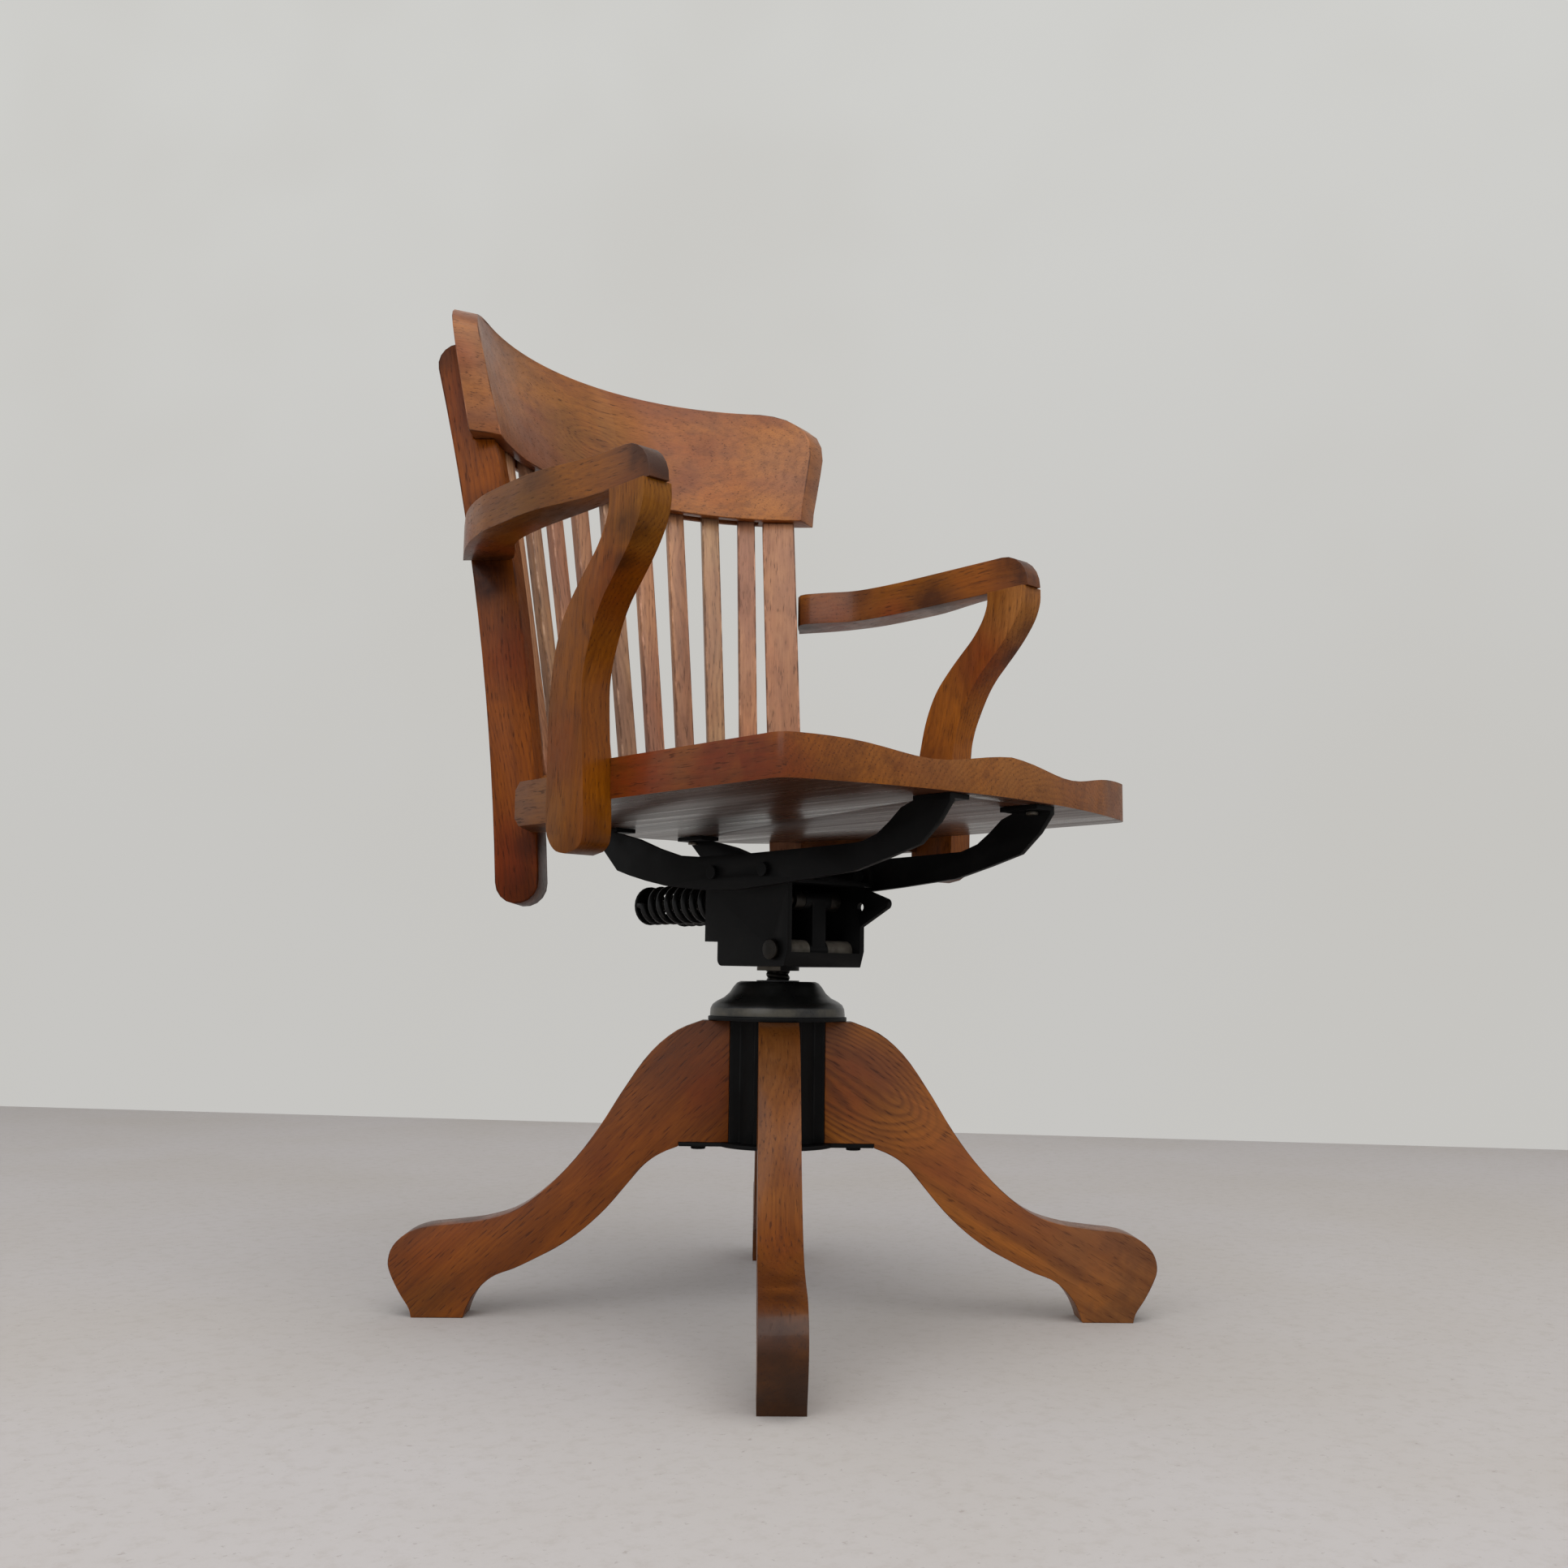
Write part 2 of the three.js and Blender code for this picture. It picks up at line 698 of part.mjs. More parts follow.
function springSolid(path) {
  const rings = path.map(({ out, point }, index) => {
    const before = path[Math.max(index - 1, 0)].point;
    const after = path[Math.min(index + 1, path.length - 1)].point;
    const arriving = point.clone().sub(before).normalize();
    const leaving = after.clone().sub(point).normalize();
    const along = arriving.clone().add(leaving).normalize();
    const side = along.clone().cross(out).normalize();
    const lean = index === 0 || index === path.length - 1 ? 1 : arriving.dot(along);
    const ring = [];
    for (let i = 0; i < springWireSides; i++) {
      const angle = (i * 2 * Math.PI) / springWireSides;
      const outward = out.clone().multiplyScalar(springWireRadius * Math.cos(angle));
      const sideways = side.clone().multiplyScalar((springWireRadius * Math.sin(angle)) / lean);
      ring.push(point.clone().add(outward).add(sideways));
    }
    return ring;
  });
  return loft(rings);
}

// The least gap between parts of the wire that are half a turn or more apart, measured on points.
function leastGap(path) {
  const samples = [];
  for (let i = 0; i + 1 < path.length; i++) {
    for (let step = 0; step < springTurnSteps; step++) {
      samples.push(path[i].point.clone().lerp(path[i + 1].point, step / springTurnSteps));
    }
  }
  const halfTurn = (springTurnSteps * springTurnSteps) / 2;
  let least = Infinity;
  for (let i = 0; i < samples.length; i++) {
    for (let j = i + halfTurn; j < samples.length; j++) {
      least = Math.min(least, samples[i].distanceTo(samples[j]));
    }
  }
  return least - 2 * springWireRadius;
}

const wirePath = springPath();
console.log("least gap of the spring wire to itself, mm:", leastGap(wirePath).toFixed(2));
const spring = springSolid(wirePath).translate(springSpread, springFront, anchorHeight);
pair("spring_rod", springRod(), brightSteel);
pair("spring_cap", springCap(), blackIron);
pair("spring", spring, blackIron);

// Tilt box

function boxOuter() {
  const shape = new THREE.Shape();
  shape.moveTo(boxFront + boxCorner, boxBottom);
  shape.lineTo(boxHeelRear - boxHeelRadius, boxBottom);
  shape.absarc(boxHeelRear - boxHeelRadius, boxBottom + boxHeelRadius, boxHeelRadius, -Math.PI / 2, 0, false);
  shape.lineTo(boxHeelRear, boxStep);
  shape.lineTo(boxRear, boxStep);
  shape.lineTo(boxRear, boxTop + boxLid);
  shape.lineTo(boxFront, boxTop + boxLid);
  shape.lineTo(boxFront, boxBottom + boxCornerRise);
  return extrudeAcross(shape, -boxHalfWidth, boxHalfWidth);
}

function boxCavity() {
  const lipInner = boxFront + boxCorner + boxFloor;
  const floorTop = boxBottom + boxFloor;
  const heelInner = boxHeelRear - boxWall;
  const rearInner = boxRear - boxWall;
  const ledge = boxStep + boxWall;
  const outline = [
    [boxFront - overrun, boxBottom + boxLip], [lipInner, boxBottom + boxLip], [lipInner, floorTop],
    [heelInner, floorTop], [heelInner, ledge], [rearInner, ledge], [rearInner, boxTop],
    [boxFront - overrun, boxTop],
  ];
  return extrudeAcross(polygon(outline), -boxInner, boxInner);
}

function boxLug() {
  const tipY = boxFront - lugReach + lugTipRadius;
  const tipZ = lugRootLow + (lugRootHeight + lugTipRadius) / 2;
  const shape = new THREE.Shape();
  shape.moveTo(boxFront + boxWall, lugRootLow);
  shape.lineTo(boxFront, lugRootLow);
  const [from, to] = lugTipShares.map((share) => share * Math.PI);
  shape.absarc(tipY, tipZ, lugTipRadius, from, to, true);
  shape.lineTo(boxFront, lugRootHigh);
  shape.lineTo(boxFront + boxWall, lugRootHigh);
  return extrudeAcross(shape, boxInner, boxHalfWidth);
}

function tiltBox() {
  const lid = block(-earOuter, earOuter, boxFront, boxRear, boxTop, boxTop + boxLid);
  const ear = block(earOuter - boxWall, earOuter, boxFront, boxRear, boxTop, boxEarTop);
  const hollow = cut(boxOuter(), boxCavity());
  const body = join(hollow, lid, ear, mirrorAcross(ear), boxLug());
  const neckHole = discUp(neckRadius + neckSlotPlay, boxBottom - overrun, boxBottom + boxLip);
  const neckSlot = neckHole.translate(0, neckSlotPlay / 3, 0);
  const shaftHole = rodAcross(pivotShaftRadius + seatGap, -ironInner, ironInner, pivotY, pivotHeight);
  const lugHole = rodAcross(lugHoleRadius, 0, ironInner, boxFront, lugRootLow + lugRootHeight / 2);
  const rodHole = rodBack(rodHoleRadius, 0, boxRear + overrun, springSpread, anchorHeight);
  const rivetHoles = rivetPlaces.map((y) => rivetHole(y));
  return cut(body, neckSlot, shaftHole, lugHole, rodHole, mirrorAcross(rodHole), ...rivetHoles);
}

function rivetHole(y) {
  const reach = ironInner + ironThickness + overrun;
  return rodAcross(rivetRadius + seatGap, -reach, reach, y, rivetHeight, screwSides);
}

function pivotShaft() {
  const inner = boxHalfWidth + seatGap;
  const outer = inner + pivotHeadThickness;
  const shank = rodAcross(pivotShaftRadius, -outer, outer, pivotY, pivotHeight);
  const head = rodAcross(pivotHeadRadius, inner, outer, pivotY, pivotHeight);
  return join(shank, head, mirrorAcross(head));
}

piece("tilt_box", tiltBox(), blackIron);
piece("pivot_shaft", pivotShaft(), brightSteel);

// Seat irons and their fasteners

const ironShares = [
  [1, 0.92], [0.913, 0.368], [0.871, 0.284], [0.816, 0.193], [0.75, 0.103], [0.647, 0.026], [0.53, 0],
  [0.36, 0.077], [0.2215, 0.155], [0.138, 0.294], [0.068, 0.425], [0.026, 0.672], [0, 0.9], [0, 1],
  [0.046, 0.99], [0.0746, 0.971], [0.111, 0.878], [0.139, 0.722], [0.168, 0.587], [0.207, 0.504],
  [0.309, 0.487], [0.5285, 0.468], [0.649, 0.479], [0.7127, 0.518], [0.7785, 0.643], [0.8465, 0.804],
  [0.9024, 0.896], [0.9496, 0.966], [1, 1],
];

function seatIron() {
  const outline = ironShares.map(([along, up]) => [
    ironFront + along * (ironRear - ironFront), ironLow + up * (footTop - ironLow),
  ]);
  const outer = ironInner + ironThickness;
  const bar = extrudeAcross(polygon(outline), ironInner, outer);
  const inner = outer - ironFootWidth;
  const frontFoot = block(inner, outer, ironFront, ironFront + ironFootLength, footBottom, footTop);
  const rearFoot = block(inner, outer, ironRear - ironFootLength, ironRear, footBottom, footTop);
  const holes = rivetPlaces.map((y) => rivetHole(y));
  const screwHoles = footScrewPlaces.map((y) => footScrewHole(y));
  return cut(join(bar, frontFoot, rearFoot), ...holes, ...screwHoles);
}

const footScrewX = ironInner - ironFootWidth / 3;
const footScrewPlaces = [ironFront + ironFootLength / 3, ironRear - ironFootLength / 3];

function footScrewHole(y) {
  const hole = discUp(footScrewRadius + seatGap, footBottom - overrun, seatBottom + footScrewDepth, screwSides);
  return hole.translate(footScrewX, y, 0);
}

function footScrew(y) {
  const headTop = footBottom - seatGap;
  const headBottom = headTop - footScrewHeadThickness;
  const head = discUp(footScrewHeadRadius, headBottom, headTop, screwSides);
  const shank = discUp(footScrewRadius, headBottom, seatBottom + footScrewDepth - seatGap, screwSides);
  return join(head, shank).translate(footScrewX, y, 0);
}

function ironRivet(y) {
  const innerFace = earOuter - boxWall - seatGap;
  const outerFace = ironInner + ironThickness + seatGap;
  const from = innerFace - rivetHeadThickness;
  const to = outerFace + rivetHeadThickness;
  const shank = rodAcross(rivetRadius, from, to, y, rivetHeight, screwSides);
  const innerHead = rodAcross(rivetHeadRadius, from, innerFace, y, rivetHeight, screwSides);
  const outerHead = rodAcross(rivetHeadRadius, outerFace, to, y, rivetHeight, screwSides);
  return join(shank, innerHead, outerHead);
}

pair("seat_iron", seatIron(), blackIron);
const ends = ["front", "rear"];
ends.forEach((end, index) => pair("iron_rivet_" + end, ironRivet(rivetPlaces[index]), blackIron));
ends.forEach((end, index) => pair("foot_screw_" + end, footScrew(footScrewPlaces[index]), brightSteel));

// Back pieces, used below to cut their housings

function roundBack(geometry, angle) {
  return geometry.rotateZ(-angle * DEG).translate(0, backCentre, 0);
}

function stileBoard(extra) {
  const bow = THREE.MathUtils.lerp(stileFootRadius, stileHeadRadius, stileBowShare);
  const round = stileDepth / 2;
  const curve = new THREE.QuadraticBezierCurve(
    new THREE.Vector2(stileFootRadius, stileFoot + round),
    new THREE.Vector2(bow, (stileFoot + stileHead) / 2),
    new THREE.Vector2(stileHeadRadius, stileHead - round),
  );
  const outline = bandOutline(curve, round + extra, 14, 9);
  const half = stileThickness / 2 + extra;
  const board = extrudeAcross(outline, -half, half).translate(0, 0, -stileToeHeight);
  return roundBack(board.rotateY(-stileToeInAngle * DEG).translate(0, 0, stileToeHeight), stileAngle);
}

const slatFoot = seatTop - slatTenon;
const slatSpan = crestBottom - seatBottom;
const slatLean = Math.atan2(slatHeadRadius - slatFootRadius, slatSpan);

function slatBar(angle, extra, fromZ, toZ) {
  const long = (toZ - fromZ) / Math.cos(slatLean);
  const bar = new THREE.BoxGeometry(slatWidth + 2 * extra, slatThickness + 2 * extra, long);
  const middle = (fromZ + toZ) / 2;
  const radius = slatFootRadius + (middle - seatBottom) * Math.tan(slatLean);
  return roundBack(bar.rotateX(-slatLean).translate(0, radius, middle), angle);
}

const crestHeightShares = [0, 0.12, 0.3, 0.48, 0.62, 0.74, 0.83, 0.9, 0.95, 0.985, 1];
const crestEndShares = [0.882, 0.899, 0.933, 0.967, 0.992, 1, 0.99, 0.955, 0.916, 0.86, 0.8];

// The crest between two sheets, each offset outwards from the board's own faces.
function crestSheet(backShare, offset, endShares) {
  return (row, column) => {
    const up = crestHeightShares[row];
    const radius = THREE.MathUtils.lerp(crestBottomRadius, crestTopRadius, up);
    const thickness = THREE.MathUtils.lerp(crestBottomThickness, crestTopThickness, up);
    const across = (2 * column) / crestColumns - 1;
    const half = (endShares[row] * crestHalfLength) / radius + backShare * crestFlareAngle * DEG;
    const angle = across * half;
    const out = radius + backShare * thickness + offset;
    const y = backCentre + up * crestLean + out * Math.cos(angle);
    return new THREE.Vector3(out * Math.sin(angle), y, crestBottom + up * (crestTop - crestBottom));
  };
}

function crestBoard() {
  const front = crestSheet(0, 0, crestEndShares);
  const back = crestSheet(1, 0, crestEndShares);
  return slab(front, back, crestHeightShares.length, crestColumns + 1);
}

// The space that the stile's notch leaves free: past the crest's ends and front, and down by the gap.
function crestTool() {
  const wide = crestEndShares.map(() => crestToolShare);
  const front = crestSheet(0, -stileDepth, wide);
  const back = crestSheet(1, seatGap, wide);
  const last = crestHeightShares.length - 1;
  const stretched = (sheet) => (row, column) => {
    const point = sheet(row, column);
    if (row === 0) point.z -= seatGap;
    if (row === last) point.z += overrun;
    return point;
  };
  return slab(stretched(front), stretched(back), crestHeightShares.length, crestColumns + 1);
}

function slatGroove() {
  const top = crestBottom + grooveDepth;
  const inner = slatHeadRadius - slatThickness / 2 - 2 * seatGap;
  const outer = slatHeadRadius + slatThickness / 2 + slatTenon * Math.tan(slatLean) + 2 * seatGap;
  const sheet = (radius) => (row, column) => {
    const angle = ((2 * column) / crestColumns - 1) * grooveAngle * DEG;
    const z = row === 0 ? crestBottom - overrun : top;
    return new THREE.Vector3(radius * Math.sin(angle), backCentre + radius * Math.cos(angle), z);
  };
  return slab(sheet(inner), sheet(outer), 2, crestColumns + 1);
}

// Arm pieces

const supportRunsShares = [
  [[0.8, 0], [0.9, 0.01], [0.97, 0.04], [1, 0.09], [0.985, 0.25], [0.963, 0.403], [0.933, 0.495], [0.896, 0.57],
    [0.8455, 0.633], [0.786, 0.683], [0.704, 0.729], [0.616, 0.772], [0.5485, 0.802], [0.455, 0.845],
    [0.373, 0.8985], [0.33, 0.9515], [0.328, 1]],
  [[0, 1]],
  [[0, 0.9515], [0.037, 0.8985], [0.112, 0.845], [0.2015, 0.796], [0.321, 0.739], [0.392, 0.704],
    [0.467, 0.654], [0.552, 0.573], [0.597, 0.513], [0.619, 0.4386], [0.616, 0.25], [0.612, 0.0884],
    [0.635, 0.03], [0.7, 0.008]],
];

// The support's outline in Y and Z: shares of its reach back from the head's front, and of its height.
function supportOutline(top) {
  const front = supportRear - supportReach;
  return shareOutline(supportRunsShares, front, supportReach, supportFoot, top - supportFoot);
}

function supportBoard(extra) {
  const middle = (spacerBottom + spacerTop) / 2;
  const from = supportInner - extra;
  const outline = grown(supportOutline(restBottom - seatGap), extra);
  const board = extrudeAcross(outline, from, supportInner + supportThickness + extra);
  return board.translate(0, 0, -middle).applyMatrix4(leanMatrix()).translate(0, 0, middle);
}

function leanMatrix() {
  return new THREE.Matrix4().makeShear(0, 0, 0, 0, Math.tan(supportLeanAngle * DEG), 0);
}

const restPlanOuterShares = [
  [0, 0.8], [0.22, 0.83], [0.43, 1], [0.58, 1], [0.72, 0.95], [0.86, 0.76], [1, 0.42],
];
const restPlanInnerShares = [
  [0.985, 0.36], [0.9, 0], [0.82, 0.13], [0.72, 0.4], [0.58, 0.5], [0.42, 0.52], [0, 0.52],
];
function armRest() {
  const runs = [restPlanOuterShares, restPlanInnerShares];
  const width = restPlanOuter - restPlanInner;
  const swap = runs.map((run) => run.map(([along, across]) => [across, along]));
  const plan = shareOutline(swap, restPlanInner, width, restFront, restRear - restFront);
  const top = restBottom + restThickness;
  const side = new THREE.Shape();
  side.moveTo(restFront, restBottom);
  side.lineTo(restFront, top - restNoseRadius);
  side.absarc(restFront + restNoseRadius, top - restNoseRadius, restNoseRadius, Math.PI, Math.PI / 2, true);
  side.lineTo(restRear + overrun, top);
  side.lineTo(restRear + overrun, restBottom);
  const height = extrudeUp(plan, restBottom - overrun, top + overrun);
  const nose = extrudeAcross(side, restPlanInner - overrun, restPlanOuter + overrun);
  return cut(common(height, nose), stileBoard(seatGap));
}

// One level of the spacer: its plan, with the rear end drawn in by the chamfer, at a height.
function spacerRing(extra, chamfer, height) {
  const front = supportRear - overrun;
  const rear = spacerRear - chamfer;
  const plan = [
    [spacerInner - extra, front], [spacerOuter + extra, front], [spacerOuter + extra, rear],
    [spacerTip, rear + spacerTaper], [spacerTipInner - extra, rear + spacerTaper / 2],
  ];
  return plan.map(([x, y]) => new THREE.Vector3(x, y, height));
}

function spacerBlock(extra) {
  return loft([
    spacerRing(extra, spacerChamfer, spacerBottom - extra),
    spacerRing(extra, 0, spacerBottom + spacerChamfer),
    spacerRing(extra, 0, spacerTop - spacerChamfer),
    spacerRing(extra, spacerChamfer, spacerTop + extra),
  ]);
}

// Seat

// Half of the seat's outline, from the middle of the front round to the middle of the rear.
function seatOutline() {
  const cornerX = seatHalfWidth - seatCornerRadius;
  const cornerY = seatFront + (seatCornerFront - seatFront) * (cornerX / seatHalfWidth) ** 2;
  const rearPoint = ([turnShare, radiusShare]) => {
    const turn = turnShare * seatRearAngle * DEG;
    const radius = radiusShare * seatRearRadius;
    return new THREE.Vector2(radius * Math.sin(turn), backCentre + radius * Math.cos(turn));
  };
  const rearEnd = rearPoint([1, seatRearEndShare]);
  const shape = new THREE.Shape();
  shape.moveTo(0, seatFront);
  shape.quadraticCurveTo(cornerX / 2, seatFront, cornerX, cornerY);
  shape.quadraticCurveTo(seatHalfWidth, seatCornerFront, seatHalfWidth, seatCornerFront + seatCornerRadius);
  shape.lineTo(seatHalfWidth, seatSideRear);
  shape.lineTo(rearEnd.x, rearEnd.y);
  shape.splineThru(seatRearShares.map(rearPoint));
  return shape;
}

function seatRim() {
  const half = seatOutline().curves.flatMap((curve) => {
    const steps = Math.max(curveSteps, Math.ceil(curve.getLength() / seatRimStep));
    return curve.getSpacedPoints(steps).slice(0, -1);
  });
  const rear = new THREE.Vector2(0, backCentre + seatRearRadius);
  const mirrored = half.slice(1).reverse().map((p) => new THREE.Vector2(-p.x, p.y));
  return [...half, rear, ...mirrored];
}

function seatHeight(x, y) {
  const smooth = THREE.MathUtils.smoothstep;
  const reachX = x / (seatHalfWidth - hollowMargin);
  const reachY = (y - seatSideRear) / (seatRearRadius - hollowMargin - seatSideRear);
  const hollow = 1 - smooth(Math.hypot(reachX, reachY), hollowFlatShare, 1);
  const forward = smooth(-y, -seatSideRear, thighReach);
  const thigh = Math.exp(-(((Math.abs(x) - thighSpread) / thighWidth) ** 2)) * forward;
  const channel = thighDepth * thigh * (1 - hollow);
  return seatTop - seatHollow * hollow - channel;
}

function seatSlab() {
  const rim = seatRim();
  const middle = new THREE.Vector2(0, 0);
  const rings = seatRimShares.map((share) =>
    rim.map((p) => {
      const q = middle.clone().lerp(p, share);
      return new THREE.Vector3(q.x, q.y, seatHeight(q.x, q.y));
    }),
  );
  rings.push(rim.map((p) => new THREE.Vector3(p.x, p.y, seatBottom)));
  return loft(rings);
}

const slatAngles = Array.from({ length: slatCount }, (_, i) => (i - (slatCount - 1) / 2) * slatStepAngle);

function seatSolid() {
  const support = supportBoard(seatGap);
  const spacer = spacerBlock(seatGap);
  const stile = stileBoard(seatGap);
  const mortises = slatAngles.map((angle) => slatBar(angle, seatGap, slatFoot - seatGap, seatTop + overrun));
  const screwHoles = footScrewPlaces.map(footScrewHole);
  const sided = [support, spacer, stile, ...screwHoles];
  return cut(seatSlab(), ...sided, ...sided.map(mirrorAcross), ...mortises);
}

piece("seat", seatSolid(), oak);
pair("stile", cut(stileBoard(0), crestTool()), oak);
slatAngles.forEach((angle, index) => {
  piece("slat_" + (index + 1), slatBar(angle, 0, slatFoot, crestBottom + slatTenon), oak);
});
piece("crest_rail", cut(crestBoard(), slatGroove()), oak);
pair("arm_support", supportBoard(0), oak);
pair("arm_rest", armRest(), darkOak);
pair("spacer", cut(spacerBlock(0), stileBoard(seatGap), supportBoard(seatGap)), oak);

// The chair stands with its bounding box centred over the origin.
const box = new THREE.Box3().setFromObject(chair);
const centre = box.getCenter(new THREE.Vector3());
chair.position.set(-centre.x, -centre.y, -box.min.z);

export default chair;
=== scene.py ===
import bpy
import bmesh
import json
import math
from mathutils import Matrix, Vector


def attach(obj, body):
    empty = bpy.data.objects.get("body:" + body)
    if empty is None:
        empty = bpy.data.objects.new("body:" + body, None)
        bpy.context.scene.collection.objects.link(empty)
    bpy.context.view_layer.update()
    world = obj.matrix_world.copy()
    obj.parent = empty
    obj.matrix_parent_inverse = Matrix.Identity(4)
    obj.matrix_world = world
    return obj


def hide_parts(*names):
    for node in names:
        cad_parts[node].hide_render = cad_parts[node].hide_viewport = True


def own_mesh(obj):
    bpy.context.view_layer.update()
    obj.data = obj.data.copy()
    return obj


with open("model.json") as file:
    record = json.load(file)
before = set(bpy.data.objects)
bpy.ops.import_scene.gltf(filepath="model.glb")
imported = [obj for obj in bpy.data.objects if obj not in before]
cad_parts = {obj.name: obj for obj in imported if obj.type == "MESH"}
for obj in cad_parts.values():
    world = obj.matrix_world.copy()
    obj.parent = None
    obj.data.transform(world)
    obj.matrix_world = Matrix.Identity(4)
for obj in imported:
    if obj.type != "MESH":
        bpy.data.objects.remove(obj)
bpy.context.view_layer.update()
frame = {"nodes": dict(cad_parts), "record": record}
nodes_by_name = frame["nodes"]

SHIFT_Y = -0.0285  # the swivel axis lies this far from the origin along Y
UP = Vector((0, 0, 1))


# Camera

CAMERA_PLACE = (-0.9298, -1.0194 + SHIFT_Y, 0.2882)
CAMERA_FORWARD = (0.6702, 0.7314, 0.1262)
CAMERA_RIGHT = (0.7361, -0.6767, 0.0127)
LENS_MM = 35.40
SENSOR_MM = 36.0
CLIP_END = 60  # metres


def make_camera():
    """The photograph's camera."""
    data = bpy.data.cameras.new("camera")
    data.sensor_fit = "AUTO"
    data.sensor_width = SENSOR_MM
    data.lens = LENS_MM
    data.clip_end = CLIP_END
    data.dof.use_dof = False
    camera = bpy.data.objects.new("camera", data)
    right = Vector(CAMERA_RIGHT)
    forward = Vector(CAMERA_FORWARD).normalized()
    right = (right - forward * right.dot(forward)).normalized()
    up = right.cross(forward).normalized()
    turn = Matrix((right, up, -forward)).transposed().to_4x4()
    camera.matrix_world = Matrix.Translation(CAMERA_PLACE) @ turn
    bpy.context.scene.collection.objects.link(camera)
    bpy.context.scene.camera = camera


# Shader helpers

CORE = 0.2  # the share of a spot's reach within which it has its full strength


class Tree:
    """A node tree with short calls for the nodes that the materials share."""

    def __init__(self, name):
        self.material = bpy.data.materials.new(name)
        self.material.use_nodes = True
        self.tree = self.material.node_tree
        self.tree.nodes.clear()
        self.output = self.add("ShaderNodeOutputMaterial")

    def add(self, kind, **settings):
        node = self.tree.nodes.new(kind)
        for key, value in settings.items():
            setattr(node, key, value)
        return node

    def join(self, source, target):
        self.tree.links.new(source, target)

    def put(self, socket, value):
        """Links the value where it is a socket, and otherwise sets it."""
        if isinstance(value, bpy.types.NodeSocket):
            self.join(value, socket)
        else:
            socket.default_value = value

    def math(self, operation, a, b=0.0, clamp=False):
        node = self.add("ShaderNodeMath", operation=operation, use_clamp=clamp)
        self.put(node.inputs[0], a)
        self.put(node.inputs[1], b)
        return node.outputs[0]

    def times(self, a, b):
        return self.math("MULTIPLY", a, b)

    def mapped(self, value, low, high, to_low=0.0, to_high=1.0, smooth=True):
        """The value taken from low..high to to_low..to_high, and held there beyond."""
        node = self.add("ShaderNodeMapRange", interpolation_type="SMOOTHSTEP" if smooth else "LINEAR")
        self.put(node.inputs["Value"], value)
        limits = (("From Min", low), ("From Max", high), ("To Min", to_low), ("To Max", to_high))
        for key, number in limits:
            node.inputs[key].default_value = number
        return node.outputs["Result"]

    def mix(self, factor, a, b):
        node = self.add("ShaderNodeMix", data_type="RGBA", blend_type="MIX")
        self.put(node.inputs[0], factor)
        self.put(node.inputs[6], a)
        self.put(node.inputs[7], b)
        return node.outputs[2]

    def noise(self, vector, scale, detail=3.0, roughness=0.55, distortion=0.0):
        node = self.add("ShaderNodeTexNoise")
        self.put(node.inputs["Vector"], vector)
        node.inputs["Scale"].default_value = scale
        node.inputs["Detail"].default_value = detail
        node.inputs["Roughness"].default_value = roughness
        node.inputs["Distortion"].default_value = distortion
        return node.outputs["Fac"]

    def stretched(self, vector, scale, offset=(0, 0, 0)):
        node = self.add("ShaderNodeMapping", vector_type="POINT")
        self.put(node.inputs["Vector"], vector)
        node.inputs["Scale"].default_value = scale
        node.inputs["Location"].default_value = offset
        return node.outputs["Vector"]

    def split(self, vector):
        node = self.add("ShaderNodeSeparateXYZ")
        self.put(node.inputs[0], vector)
        return node.outputs

    def coordinates(self):
        return self.add("ShaderNodeTexCoord").outputs["Object"]

    def rounded_edges(self):
        """1 on the rounded edges of a dressed piece, 0 on its faces."""
        return self.add("ShaderNodeAttribute", attribute_name="edge").outputs["Fac"]

    def near(self, place, spot, reach, strength):
        """strength at the spot, falling to nothing at the reach."""
        away = self.add("ShaderNodeVectorMath", operation="DISTANCE")
        self.put(away.inputs[0], place)
        away.inputs[1].default_value = spot
        return self.mapped(away.outputs["Value"], reach, reach * CORE, 0.0, strength)

    def bump(self, height, strength, distance):
        node = self.add("ShaderNodeBump")
        node.inputs["Strength"].default_value = strength
        node.inputs["Distance"].default_value = distance
        self.put(node.inputs["Height"], height)
        return node.outputs["Normal"]

    def principled(self, colour, roughness, normal, **constants):
        shader = self.add("ShaderNodeBsdfPrincipled")
        self.put(shader.inputs["Base Color"], colour)
        self.put(shader.inputs["Roughness"], roughness)
        self.put(shader.inputs["Normal"], normal)
        for key, value in constants.items():
            shader.inputs[key.replace("_", " ")].default_value = value
        return self.finish(shader.outputs[0])

    def finish(self, shader):
        self.join(shader, self.output.inputs["Surface"])
        return self.material


def srgb(r, g, b):
    """A linear colour from 8-bit display values."""
    def linear(c):
        c = c / 255
        return c / 12.92 if c <= 0.04045 else ((c + 0.055) / 1.055) ** 2.4
    return (linear(r), linear(g), linear(b), 1.0)


BRIGHTEST = 0.9  # no channel of a scaled colour goes above this


def scaled(colour, r, g=None, b=None):
    """The colour with its channels multiplied, all by r where g and b aren't given."""
    factors = (r, r if g is None else g, r if b is None else b)
    return tuple(min(channel * factor, BRIGHTEST) for channel, factor in zip(colour, factors)) + (1.0,)


# Wood

